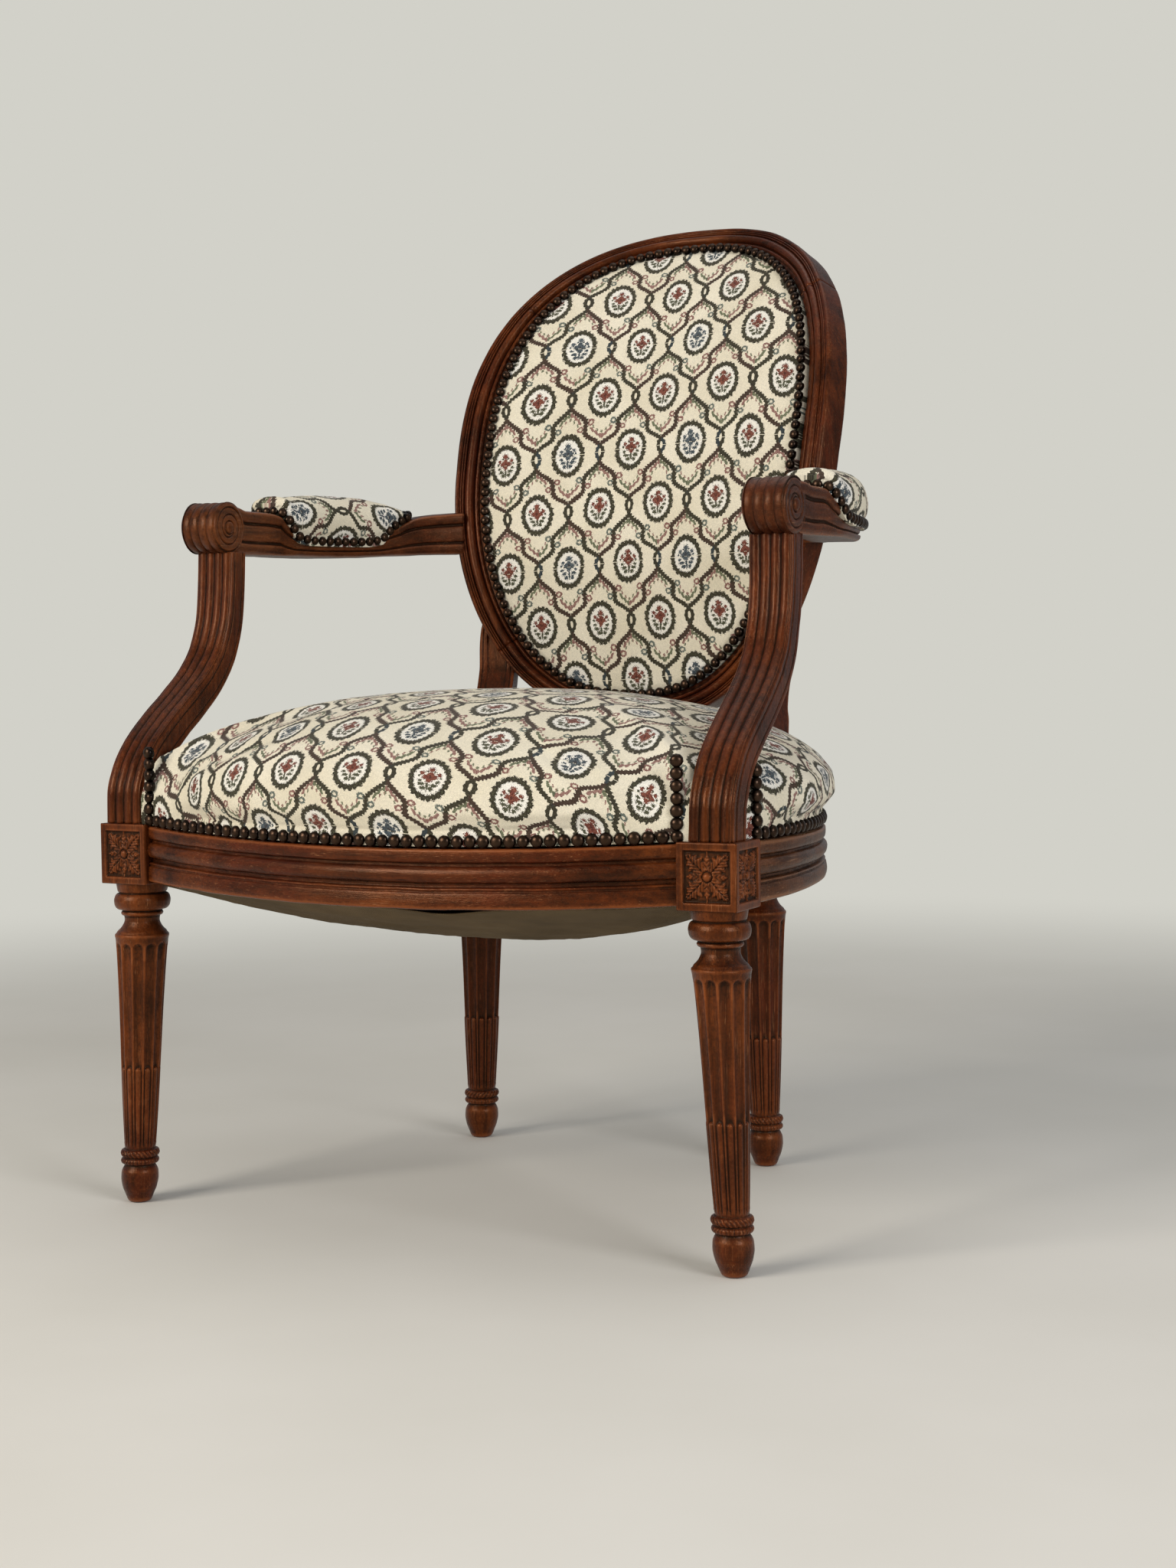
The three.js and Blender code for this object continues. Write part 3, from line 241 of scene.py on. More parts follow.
def stained_beech(name, grain, faded=0.0):
    """Beech stained dark red-brown and waxed, two centuries old: painted shade makes it nearly black in
    the carved grooves, and its edges go orange-brown, partly from wear and partly as a painted highlight,
    with fine dark pores along the grain and a satin sheen, warm from the stain under the wax. Pores stand
    about 0.7 apart across the grain and run for 20; faded is how far the daylight has greyed it."""
    made, tree, shader = finish_of(name)
    place = add(tree, "TexCoord", out="Object")
    stretch = [9 if axis == grain else 260 for axis in range(3)]
    along = add(tree, "Mapping", {"Vector": place, "Scale": stretch})
    figure, pores, streaks, cloudy, specks, patchy = (
        add(tree, "TexNoise", {"Vector": at, "Scale": scale, "Detail": detail, "Roughness": rough})
        for at, scale, detail, rough in (
            (along, 0.8, 5, 0.62), (along, 5.5, 2, 0.5), (along, 4.2, 3, 0.65), (place, 22, 4, 0.6),
            (place, 420, 3, 0.7), (place, 6.5, 2, 0.5)))
    figure, clouds, dusted, mottled, scuffs, thin, filled, patchy, rough = (
        add(tree, "MapRange", value, low, high, start, end) for value, low, high, start, end in (
            (figure, 0.28, 0.72, 0.0, 1.0), (cloudy, 0.35, 0.7, -0.22, 0.32), (specks, 0.3, 0.75, -0.2, 0.2),
            (cloudy, 0.35, 0.7, -0.12, 0.12), (streaks, 0.59, 0.74, 0.0, 0.45), (cloudy, 0.42, 0.6, 0.0, 1.0),
            (pores, 0.6, 0.72, 0.0, 0.8), (patchy, 0.42, 0.64, 0.0, 1.0),
            (cloudy, 0.3, 0.7, 0.22, 0.38)))
    tone = add(tree, "ADD", figure, clouds, use_clamp=True)
    height = add(tree, "Attribute", out="Fac", attribute_name="relief")
    relief_and_mottle = add(tree, "ADD", add(tree, "ADD", height, dusted), mottled)
    # Parts raised by the relief go orange-brown: partly wear, partly a painted highlight along the ridges and
    # edges.
    edge = add(tree, "MapRange", relief_and_mottle, 0.1, 0.8, 0.0, 0.55)
    # Painted shade: where the relief sinks into grooves and hollows, the colour goes to near black #090403 in
    # place of the shade there. These places are also made rougher.
    painted_groove_shade = add(tree, "MapRange", relief_and_mottle, 0.0, -0.45, 0.0, 0.97)
    warm = add(tree, "Mix", {0: patchy, 6: "#4b1c0c", 7: "#5f2d10"}, **RGBA)
    base, light, wear_and_highlight, bare = (
        add(tree, "Mix", {0: faded, 6: fresh, 7: grey}, **RGBA) for fresh, grey in (
            ("#260e07", "#28190f"), (warm, "#4f3520"), ("#8a4b26", "#7a5f45"), ("#b07a52", "#a48a6c")))
    for share, coat in ((tone, light), (filled, "#170806"), (edge, wear_and_highlight), (painted_groove_shade, "#090403"),
                        (add(tree, "MULTIPLY", scuffs, thin), bare)):
        base = add(tree, "Mix", {0: share, 6: base, 7: coat}, **RGBA)
    bumps = add(tree, "ADD", pores, add(tree, "MULTIPLY", specks, 0.8))
    bump = add(tree, "Bump", {"Height": bumps, "Strength": 0.4, "Distance": 0.0006})
    rough = add(tree, "ADD", rough, add(tree, "MULTIPLY", painted_groove_shade, 0.35))
    fill(tree, shader, {"Base Color": base, "Roughness": rough, "Normal": bump, "Coat Weight": 0.05,
                        "Coat Roughness": 0.2, "Specular IOR Level": 0.42, "Specular Tint": "#e3a070"})
    return made


beech_upright = stained_beech("stained_beech_upright", 2)
beech_across = stained_beech("stained_beech_across", 0)
beech_faded = stained_beech("stained_beech_faded", 1, 0.55)
beech_arm = stained_beech("stained_beech_arm", 1, 0.2)

# Front and rear legs
# The real legs are turned and fluted beech, each in one with its square block; the rear ones run on
# upward into the posts and the sides of the oval. The rails are tenoned into the blocks.
LEG, BLOCK, FRONT_WIDTH, REAR_WIDTH = 271, 50, 47.5, 44
BLOCK_TOP = LEG + BLOCK
FRONT_X, REAR_X, REAR_Y = 265, 143, 350
leg_rows = [  # height and radius, from the floor up
    (0, 7.2), (0.5, 8.7), (2.2, 10), (7, 12), (13, 14.3), (20.9, 15.6), (26, 15.3), (29.8, 13.9),
    (31.6, 12.7), (32.4, 12.6), (32.9, 13.6), (33.5, 15), (35.6, 15.9), (37.6, 15.1), (38.2, 13.9),
    (38.8, 13.8), (39.4, 15.1), (42, 16.1), (44.7, 15.1), (45.3, 13.7), (46, 12.8), (48, 13), (222, 21.6),
    (224.5, 22), (226.3, 22.4), (227.6, 22.2), (228.4, 21.2), (230, 20.3), (232, 18.2), (235, 16),
    (239.4, 14.4), (242, 14.6), (243.2, 15.2), (243.6, 16.4), (245.4, 17.4), (247.2, 16.5), (247.7, 15.7),
    (248.1, 17.2), (248.6, 19.6), (250, 21.6), (252.6, 22.9), (256, 23.3), (259.4, 22.6), (261.6, 21.1),
    (262.3, 19.4), (263, 19.2), (263.5, 20.2), (266, 20.9), (269, 21.5), (271.5, 21.8)]
FLUTES, FLUTE_HALF, FLUTE_DEPTH, FLUTE_LOW, FLUTE_HIGH, REED_HIGH = 12, 0.43, 2.3, 49, 221, 116


def turned_leg(side, x, y, splay, wear):
    """Rings up the leg: the turned radius, less a hollow in each of 12 flutes whose ends are round
    (depth times the root of 1 less the squared share of its half width), plus a rounded reed that
    fills the lower part of each flute. Both collars are notched, and the leg leans outward."""
    z = stretches((0, 32, 26), (32, 48, 44), (48, 108, 30), (108, 120, 16), (120, 208, 26), (208, 229, 28),
                  (229, 264, 62), (264, 271.5, 9))[:, None]
    angle = around(168)[None]
    radius = curve(leg_rows, z) + 0 * angle
    pitch = TURN / FLUTES
    across = ((angle + pitch / 2) % pitch - pitch / 2) * radius

    def rounded(half, top):
        """Depth of a hollow of a half width with round ends, up to its top."""
        past = np.maximum(np.maximum(z - (top - half), FLUTE_LOW + half - z), 0)
        return FLUTE_DEPTH * np.sqrt(np.maximum(1 - (across ** 2 + past ** 2) / half ** 2, 0))

    half = FLUTE_HALF * pitch * radius
    hollow = rounded(half, FLUTE_HIGH)
    radius = radius - hollow + np.minimum(1.05 * rounded(0.74 * half, REED_HIGH), hollow + 0.25)
    radius += np.where((z > 39) & (z < 45), 0.38 * np.sin(angle * 26 + z * 1.15) - 0.2, 0)
    radius -= np.where((z > 33.2) & (z < 37.8), 0.75 * np.maximum(np.cos(angle * 30), 0) ** 6, 0)
    lean = x + splay * (1 - z / LEG)
    at = np.stack([side * lean + radius * np.cos(angle), y + radius * np.sin(angle), z + 0 * angle], -1)
    dents = ripple(at, wear)[..., None] * 0.22
    return skin(at + dents * unit(at - [side * x, y, 0]) * [1, 1, 0], (10, 12))


def carving(a, b, seed):
    """Height of the carved panel over its face, a across and b up from its middle: a sunk ground
    inside a plain border, four lobed leaves along the diagonals whose outline is a sine of the way
    out, each with a cut rib and side veins, short petals between them and a round boss."""
    ground = -2.3 * ease((19 - np.abs(a)) / 1.3) * ease((19.6 - np.abs(b)) / 1.3)
    r, turn = np.hypot(a, b), np.arctan2(b, a)
    height = np.zeros_like(r)
    for offset, length, width, rise, rib in ((math.pi / 4, 24.5, 6.4, 2.5, 1.0), (0, 16.5, 3.4, 1.5, 0)):
        slant = (turn - offset + math.pi / 4) % (TURN / 4) - math.pi / 4
        out, side = r * np.cos(slant), r * np.sin(slant)
        way = np.clip((out - 2.5) / (length - 2.5), 0, 1)
        edge = width * np.sin(math.pi * way ** 0.8) * (1 + 0.2 * np.cos(out * 1.45)) + 1e-3
        share = np.clip(np.abs(side) / edge, 0, 1)
        leaf = rise * np.sqrt(1 - share ** 2) * (0.72 + 0.28 * np.cos(out * 0.42))
        leaf -= rib * np.exp(-(side / 0.55) ** 2) * (share < 1)
        leaf -= 0.42 * np.cos((out - 1.1 * np.abs(side)) * 1.9) * (share < 0.9)
        height = np.maximum(height, leaf)
    boss = 2.6 * np.sqrt(np.maximum(1 - (r / 3.6) ** 2, 0))
    height = np.where(r < 4.4, boss, height)
    height += 0.16 * ripple(np.stack([a * 3, b * 3, 0 * a + seed * 31], -1), seed)
    return np.where(ground < -1.2, ground + np.maximum(height, 0), ground + 0.05 * height)


def block(x, y, width, turn=0, carved=(), seed=0, count=100):
    """The square block on top of a leg: points round the square by rows up it, each moved outward by
    the carved panel's height on the faces named (0 front, 1 towards +X, 2 rear, 3 towards -X), with
    a small worn chamfer on every edge."""
    half, z = width / 2, np.linspace(0, BLOCK, count)
    side = np.linspace(-half, half, count, endpoint=False)
    a, b = np.meshgrid(side, z - BLOCK / 2)
    chamfer = np.maximum(0.6 - np.minimum(z, BLOCK - z), 0)[:, None]
    faces = []
    for face, out in enumerate(((0, -1), (1, 0), (0, 1), (-1, 0))):
        plain = 0.1 * ripple(np.stack([a, b, 0 * a], -1), seed)
        push = carving(a, b, seed + face) if face in carved else plain
        push = np.where(np.abs(side) > half - 0.7, -0.45, push) - chamfer
        flat = (half + push)[..., None] * out + a[..., None] * (-out[1], out[0])
        faces.append(np.concatenate([flat, (b + BLOCK / 2 + LEG)[..., None]], -1))
    at = np.concatenate(faces, 1)
    c, s = math.cos(turn), math.sin(turn)
    at[..., 0], at[..., 1] = at[..., 0] * c - at[..., 1] * s + x, at[..., 0] * s + at[..., 1] * c + y
    return skin(at, (20, 20))


for side, label in SIDES:
    leg = [turned_leg(side, FRONT_X, 0, 10.5, 3 + side),
           block(side * FRONT_X, 0, FRONT_WIDTH, side * 0.014 * math.pi, (0, 2 - side), 5 + 3 * side)]
    build("leg_front_" + label, leg, beech_upright, "stained_beech", "front_leg_" + label)

# Oval back frame
# The oval is four curved pieces of beech, hollowed to the sitter's back and raked: the two sides are
# one with the rear legs, the crest and the bottom rail are tenoned between them and pegged.
HALF_WIDTH, HALF_HEIGHT, DISH, SWEEP, RAKE = 185.4, 249.6, 48, 31, 0.316
BACK_Y = REAR_Y + 34.7 + HALF_HEIGHT * math.sin(RAKE) - SWEEP
BACK_Z = BLOCK_TOP + 72 + HALF_HEIGHT * math.cos(RAKE)
FRAME_WIDTH, STILE_FROM, STILE_TO = 25, -0.74, 0.71
frame_rows = [  # across the moulding from the outer edge in, and back from its highest line
    (0, 7), (0.25, 5), (1, 3.7), (2, 3.2), (3.3, 3.2), (3.6, 4.5), (3.9, 4.5), (4.2, 3.3), (4.9, 2.5),
    (5.6, 3.2), (5.9, 4.2), (6.2, 3.2), (6.9, 2.5), (7.6, 3.3), (7.9, 5), (8.3, 5), (8.7, 3.1), (9.6, 1.4),
    (10.8, 0.3), (12.2, 0), (13.6, 0.4), (14.9, 1.5), (15.9, 3.2), (16.3, 5.3), (16.8, 5.3), (17.2, 3.4),
    (18, 2.4), (19, 2.1), (20, 2.5), (20.7, 3.6), (21, 5), (21.6, 4.9), (24, 4.7), (24.7, 5), (25, 6)]


def back_surface(u, v):
    """Front face of the back: u across, v up the slope. It leans by the rake, is hollowed by the
    squared share of the width (more towards the top) and swept back by the squared share up."""
    across, up = u / HALF_WIDTH, v / HALF_HEIGHT
    y = BACK_Y + v * math.sin(RAKE) - DISH * across ** 2 * (1 + 0.3 * up) + SWEEP * up ** 2
    return np.stack(np.broadcast_arrays(u, y, BACK_Z + v * math.cos(RAKE)), -1)


def back_point(u, v, depth):
    """A point behind the front face of the back, along the face's own normal."""
    step = 0.2
    across = back_surface(u + step, v) - back_surface(u - step, v)
    upward = back_surface(u, v + step) - back_surface(u, v - step)
    return back_surface(u, v) + unit(np.cross(upward, across)) * np.asarray(depth)[..., None]


def oval(angle, inward=0):
    """The oval outline: half sizes times the powers 2 / 2.39 of cosine and sine, wider towards the
    top by 0.084 of the height share, then moved inward along its normal."""
    def at(t):
        """The outline's place at an angle, across and up."""
        c, s = (np.sign(value) * np.abs(value) ** (2 / 2.39) for value in (np.cos(t), np.sin(t)))
        return HALF_WIDTH * c * (1 + 0.084 * np.sin(t)), HALF_HEIGHT * s

    u, v = at(angle)
    (a, b), (c, d) = at(angle - 0.002), at(angle + 0.002)
    size = np.hypot(c - a, d - b)
    return u - inward * (d - b) / size, v + inward * (c - a) / size


front_line = stretches((0, 8.4, 34), (8.4, 16.2, 20), (16.2, FRAME_WIDTH, 34))
back_line = np.array([
    (25, 6.6), (25, 25), (24.6, 26.4), (23.4, 27), (1.8, 27), (0.6, 26.4), (0, 25), (0, 7.6)])
back_path = length_along(back_line)
back_at = np.linspace(0, back_path[-1], 76)
frame_section = np.concatenate([
    np.stack([front_line, curve(frame_rows, front_line)], -1),
    np.stack([np.interp(back_at, back_path, places) for places in back_line.T], -1)])


def frame_arc(start, end, seed):
    """A stretch of the oval frame: its moulded section, from the outer edge in and from the front
    back, carried round the oval between two angles."""
    angle = np.linspace(start, end, max(int(abs(end - start) * 62), 24))[:, None]
    u, v = oval(angle, frame_section[None, :, 0])
    return weathered(back_point(u, v, frame_section[None, :, 1] + 0 * u), seed, 0.2, (6, 12))


post_rows = [  # rise, lean and reach toward the stile, half width, half depth, turn toward the middle
    (-0.04, 0, 0, 19, 18, 0), (0.1, 0, 0.015, 19, 17.5, 0.038), (0.25, 0.05, 0.1, 18.5, 17, 0.113),
    (0.42, 0.35, 0.36, 17.7, 15.7, 0.226), (0.51, 0.8, 0.526, 17.2, 14, 0.276),
    (0.585, 1.05, 0.745, 17, 12.2, 0.295), (0.66, 0.75, 0.92, 17, 10.7, 0.295),
    (0.72, 0.4, 1.04, 17, 10.1, 0.295), (0.82, -0.1, 1.137, 17, 9.9, 0.295),
    (0.92, -0.35, 1.213, 16.3, 9.3, 0.295), (1, -0.1, 1.271, 15, 8.5, 0.295)]


def rear_post(seed):
    """From the rear block up behind the rim of the oval: a section with rounded corners, a flat panel
    and a plain border on its face, whose middle leans and which turns toward the chair's middle as the
    rows say."""
    head = back_point(*oval(np.array(STILE_FROM)), 13.5) + [0, 0, 34]
    rise = np.linspace(-0.04, 1, 90)[:, None]
    lean, reach, wide, deep, turn = curves(post_rows, rise)
    face, edge = np.linspace(-0.9, 0.9, 61), np.linspace(-0.9, 0.9, 26)
    sink = 1.3 * ease((0.6 - np.abs(face)) / 0.09) + 0.9 * np.exp(-((np.abs(face) - 0.8) / 0.03) ** 2)
    rear = face[::3]
    section = np.concatenate([
        np.stack([face, -1 + 0 * face], -1), [(0.97, -0.97)],
        np.stack([1 + 0 * edge, edge], -1), [(0.97, 0.97)],
        np.stack([-rear, 1 + 0 * rear], -1), [(-0.97, 0.97)],
        np.stack([-1 + 0 * edge, -edge], -1), [(-0.97, -0.97)]])
    back = np.append(sink, np.zeros(len(section) - len(sink)))
    a, b = section[:, 0] * wide, section[:, 1] * deep + back
    at = np.stack([REAR_X + (head[0] - REAR_X) * lean + a * np.cos(turn) + b * np.sin(turn),
                   REAR_Y + (head[1] - REAR_Y) * reach - a * np.sin(turn) + b * np.cos(turn),
                   BLOCK_TOP + (head[2] - BLOCK_TOP) * rise + 0 * a], -1)
    return weathered(at, seed, 0.25, (8, 8))


for side, label in SIDES:
    leg = [turned_leg(1, REAR_X, REAR_Y, 4, 11 + side), block(REAR_X, REAR_Y, REAR_WIDTH, 0, (), 17, 40),
           rear_post(21 + side), frame_arc(STILE_FROM, STILE_TO, 31)]
    build("leg_rear_" + label, [to_side(side, shell) for shell in leg], beech_upright, "stained_beech",
          "rear_leg_" + label)
joint = 0.3 / HALF_WIDTH
crest = frame_arc(STILE_TO + joint, math.pi - STILE_TO - joint, 35)
build("crest", [crest], beech_across, "stained_beech", "back_crest")
bottom_rail = frame_arc(-math.pi - STILE_FROM + joint, STILE_FROM - joint, 37)
build("oval_bottom", [bottom_rail], beech_across, "stained_beech", "back_bottom_rail")

# Seat rails
# Moulded beech rails between the blocks: a flat band, a groove, a wide round, a groove and a heavier
# band below. The front one bows forward and dips in the middle, the sides draw in to the rear posts.
RAIL, RAIL_BOTTOM, RAIL_THICK = 45.5, LEG + 2.5, 27
RAIL_TOP = RAIL_BOTTOM + RAIL
FRONT_HALF, REAR_HALF = FRONT_X - FRONT_WIDTH / 2, REAR_X - REAR_WIDTH / 2
FRONT_IN, FRONT_BOW, FRONT_DIP, REAR_BOW, SIDE_RISE, SIDE_FALL = 21, 46, 6, 11, 8, 3
rail_rows = [  # up the rail as a share of its height, and out from its face
    (0, -1.6), (0.01, -0.4), (0.05, 0.2), (0.12, 0.5), (0.2, 0.2), (0.275, -0.4), (0.285, -1.6),
    (0.31, -1.7), (0.32, -0.9), (0.35, -1.0), (0.36, -4.4), (0.38, -5), (0.43, -4.8), (0.44, -2.2),
    (0.47, -0.6), (0.52, 0.5), (0.58, 0.9), (0.64, 0.4), (0.685, -0.9), (0.71, -2.8), (0.715, -4.3),
    (0.76, -4.4), (0.77, -2.4), (0.8, -0.9), (0.84, -0.5), (0.9, -0.4), (0.96, -0.5), (0.985, -0.9),
    (1, -2)]
rail_up = stretches((0, 0.26, 14), (0.26, 0.5, 34), (0.5, 0.68, 12), (0.68, 0.82, 20), (0.82, 1, 12))
rail_section = np.concatenate([
    np.stack([curve(rail_rows, rail_up), rail_up], -1),
    [(-8, 1), (-16, 1), (-24, 1), (-27, 0.98), (-27, 0.7), (-27, 0.4), (-27, 0.02), (-24, 0), (-16, 0),
     (-8, 0)]])


def rail(at, out, bottom, height, seed):
    """The moulded section carried along places in plan, each with its outward way, its bottom and
    its height."""
    plan = at[:, None, :2] + out[:, None] * rail_section[None, :, :1]
    level = bottom[:, None] + height[:, None] * rail_section[None, :, 1]
    return weathered(np.concatenate([plan, level[..., None]], -1), seed, 0.22, (4, 12))


def front_face(x):
    """Plan line of the front rail's face: it bows forward by 46 in the middle, as a parabola."""
    return -FRONT_IN - FRONT_BOW * (1 - (x / FRONT_HALF) ** 2)


def front_drop(x):
    """How far the front rail hangs lower than at its ends: 6 in the middle, as a parabola."""
    return FRONT_DIP * np.maximum(1 - (x / FRONT_HALF) ** 2, 0)


x = np.linspace(-FRONT_HALF - 4, FRONT_HALF + 4, 130)
out = unit(np.stack([2 * FRONT_BOW * x / FRONT_HALF ** 2, -np.ones_like(x)], -1))
front_rail = rail(np.stack([x, front_face(x)], -1), out, RAIL_BOTTOM - front_drop(x), RAIL + 0 * x, 41)
build("rail_front", [front_rail], beech_across, "stained_beech", "front_rail")

SIDE_X, SIDE_FRONT, SIDE_END = FRONT_X + FRONT_WIDTH / 2 - 2.75, FRONT_WIDTH / 2, REAR_Y - 9
side_reach = SIDE_X - (REAR_X + REAR_WIDTH / 2)
side_rows = np.array([(0, 0), (-0.042, 0.15), (-0.004, 0.33), (0.1, 0.5), (0.29, 0.67), (0.58, 0.84), (1, 1)])
side_points = np.array([SIDE_X, SIDE_FRONT]) + side_rows * [-side_reach, SIDE_END - SIDE_FRONT]


def side_at(share):
    """Plan line of a side rail's face: a curve through its points whose tangents weigh each chord by
    the root of its length."""
    share = np.asarray(share, float)
    lead_in, run_out = 2 * side_points[0] - side_points[1], 2 * side_points[-1] - side_points[-2]
    p = np.concatenate([[lead_in], side_points, [run_out]])
    i = np.clip((share * 6).astype(int), 0, 5)
    t = (share * 6 - i)[..., None]
    a, b, c, d = p[i], p[i + 1], p[i + 2], p[i + 3]
    before, here, after = (np.sqrt(np.linalg.norm(s, axis=-1, keepdims=True)) for s in (b - a, c - b, d - c))
    lead = ((b - a) / before - (c - a) / (before + here) + (c - b) / here) * here
    tail = ((c - b) / here - (d - b) / (here + after) + (d - c) / after) * here
    return (b + lead * t + (-3 * b + 3 * c - 2 * lead - tail) * t ** 2
            + (2 * b - 2 * c + lead + tail) * t ** 3)


def side_station(share):
    """A side rail's face at a share of its length, with its outward way, bottom and height."""
    along = unit(side_at(np.minimum(share + 1e-4, 1)) - side_at(np.maximum(share - 1e-4, 0)))
    bottom = RAIL_BOTTOM + SIDE_RISE * share
    height = RAIL_TOP - SIDE_FALL * share - bottom
    return side_at(share), np.stack([along[..., 1], -along[..., 0]], -1), bottom, height


at, out, bottom, height = (np.concatenate([v[:1], v, v[-1:]]) for v in side_station(np.linspace(0, 1, 110)))
at[[0, -1]] += [(0, -4), (-4, 4)]
side_rail = rail(at, out, bottom, height, 43)
for side, label in SIDES:
    rail_side = to_side(side, side_rail)
    build("rail_side_" + label, [rail_side], beech_faded, "stained_beech", "side_rail_" + label)


def rail_rear_face(x):
    """Plan line of the plain rear rail, bowed back by 11 in the middle."""
    return REAR_Y + REAR_WIDTH / 2 - 6 + REAR_BOW * (1 - (x / REAR_HALF) ** 2)


x = np.linspace(-REAR_HALF - 1, REAR_HALF + 1, 60)[:, None]
low, high = RAIL_BOTTOM + SIDE_RISE, RAIL_TOP - SIDE_FALL
plain_section = np.array([
    (0, 0.98), (0, 0.5), (0, 0.02), (-1.2, 0), (-14, 0), (-25, 0), (-27, 0.05), (-27, 0.5), (-27, 0.96),
    (-25, 1), (-14, 1), (-1.2, 1)])
rear_rail = np.stack(np.broadcast_arrays(x, rail_rear_face(x) + plain_section[:, 0],
                                         low + (high - low) * plain_section[:, 1]), -1)
build("rail_rear", [skin(rear_rail, (4, 2))], beech_across, "stained_beech", "back_rail")

# Arms and their supports
# Each arm is one piece of beech from the scrolled drum in front to the side of the oval, where it is
# tenoned in. The swept support under it stands on the front block and has four reeds on its face.
SUPPORT_X, SUPPORT_REACH, SUPPORT_IN = FRONT_X + 2.5, 122, 6.5
ARM_BOTTOM, ARM_DEPTH, ARM_HALF, ARM_BOW, DRUM = BLOCK_TOP + 226, 44.5, 23, 30, 22.2
ARM_FRONT = np.array([FRONT_X, SUPPORT_REACH - 16])
arm_slope = (ARM_BOTTOM + ARM_DEPTH / 2 - BACK_Z) / math.cos(RAKE)
ARM_REAR = np.array([HALF_WIDTH + 4.6, back_surface(np.array(HALF_WIDTH), np.array(arm_slope))[1] + 2.8])
LATE = {"left": 0, "right": 0.11}  # how far back a pad starts, as a share of its arm


def arm_line(s):
    """Plan of the arm at a share of its length: straight from drum to oval, bowed out by a parabola
    of 30, with its outward way."""
    s = np.asarray(s, float)
    run = ARM_REAR - ARM_FRONT
    at = ARM_FRONT + run * s[..., None] + np.stack([4 * ARM_BOW * s * (1 - s), 0 * s], -1)
    return at, unit(np.stack([run[1] + 0 * s, -run[0] - 4 * ARM_BOW * (1 - 2 * s)], -1))


def set_back(s, late):
    """The place in the rows for a place s on an arm whose pad starts late by a share of the arm."""
    return np.interp(s, [-1, 0.12, 0.2 + late, 0.52, 2], [-1, 0.12, 0.2, 0.52, 2])


arm_rows = [  # place along the arm, then bottom, top and half width as shares
    (0, 0.03, 0.93, 0.7), (0.02, 0.02, 0.93, 0.72), (0.07, 0, 0.92, 0.75), (0.12, 0, 0.86, 0.78),
    (0.18, 0, 0.84, 0.84), (0.24, 0, 0.62, 0.93), (0.31, 0, 0.45, 1), (0.5, 0, 0.43, 1),
    (0.72, 0.03, 0.45, 1), (0.8, 0.06, 0.62, 0.88), (0.88, 0.08, 0.85, 0.7), (0.94, 0.1, 0.92, 0.62),
    (1.05, 0.11, 0.99, 0.6)]
arm_side = [  # up the arm's side as a share of its height, and out from its half width in mm
    (0, -5.2), (0.02, -3.6), (0.06, -2.2), (0.12, -1.2), (0.2, -0.9), (0.24, -1.4), (0.265, -3.4),
    (0.3, -3.5), (0.33, -1.9), (0.42, -1.3), (0.55, -1.2), (0.66, -1.7), (0.7, -3.5), (0.735, -3.6),
    (0.76, -1.5), (0.82, -0.3), (0.9, 0), (0.96, -0.7), (0.99, -2.2), (1, -3.6)]


def arm_body(seed, late):
    """The arm between drum and oval: a section with a raised edge above and below and a flat panel
    between, whose bottom, top and width follow the rows along the arm."""
    s, side_up = np.linspace(0, 1.04, 156), np.linspace(0, 1, 64)
    at, out = arm_line(s)
    low, high, wide = (values[:, None] for values in curves(arm_rows, set_back(s, late)))
    half = wide * ARM_HALF
    reach = half + curve(arm_side, side_up)
    top = np.array([0.66, 0.33, 0, -0.33, -0.66]) * (half - 3.6)
    up = ARM_BOTTOM + ARM_DEPTH * (low + (high - low) * side_up)
    crown = ARM_BOTTOM + ARM_DEPTH * high + 0.9 * (1 - (top / half) ** 2)
    across = np.concatenate([reach, top, -reach[:, ::-1], -top * 0.97], 1)
    level = np.concatenate([up, crown, up[:, ::-1], ARM_BOTTOM + ARM_DEPTH * low + 0 * top], 1)
    points = np.concatenate([at[:, None] + out[:, None] * across[..., None], level[..., None]], -1)
    return weathered(points, seed, 0.25, (4, 10))


def drum(seed):
    """The scroll at the arm's front: from the middle of one end face, over the rim and back to the
    middle of the other. Four rounded reeds run round the rim, and each end face has a button and a
    groove that winds out from it by 6.2 a turn."""
    half, winding, button = 17.2, 6.2, 5.2
    corner = 20.6 + 1.6 * np.sin(np.linspace(0.12, 1, 7) * math.pi / 2)
    face = np.concatenate([np.linspace(0.3, 20.6, 66), corner])
    wide = np.linspace(-half, half, 96)
    turn = around(180)[None]
    rim = DRUM - 0.3 + 1.5 * np.abs(np.cos(wide / half * TURN + math.pi / 2)) ** 0.55 - 1.5
    rim = np.where(np.abs(wide) > half - 1, np.minimum(rim, DRUM - 0.6), rim)[:, None] + 0 * turn
    r = face[:, None] + 0 * turn

    def end(out):
        """An end face, on the side that out names."""
        wind = (r - 4.6 - winding * ((out * turn + 2.2) % TURN) / TURN) % winding
        groove = np.where(r > 5.6, 1.35 * np.exp(-((np.minimum(wind, winding - wind)) / 0.75) ** 2), 0)
        boss = 2.3 * np.sqrt(np.maximum(1 - (r / button) ** 2, 0))
        edge = 1.2 * ease((r - 19.6) / 2.6) + 0.9 * np.exp(-((r - 5.9) / 0.6) ** 2)
        return out * (18.3 + boss - groove - edge)

    radius = np.concatenate([r, rim, r[::-1]])
    across = np.concatenate([end(-1), wide[:, None] + 0 * turn, end(1)[::-1]])
    at = np.stack([FRONT_X + across, ARM_FRONT[1] + radius * np.cos(turn),
                   ARM_BOTTOM + DRUM + radius * np.sin(turn)], -1)
    return weathered(at, seed, 0.2, (12, 12))


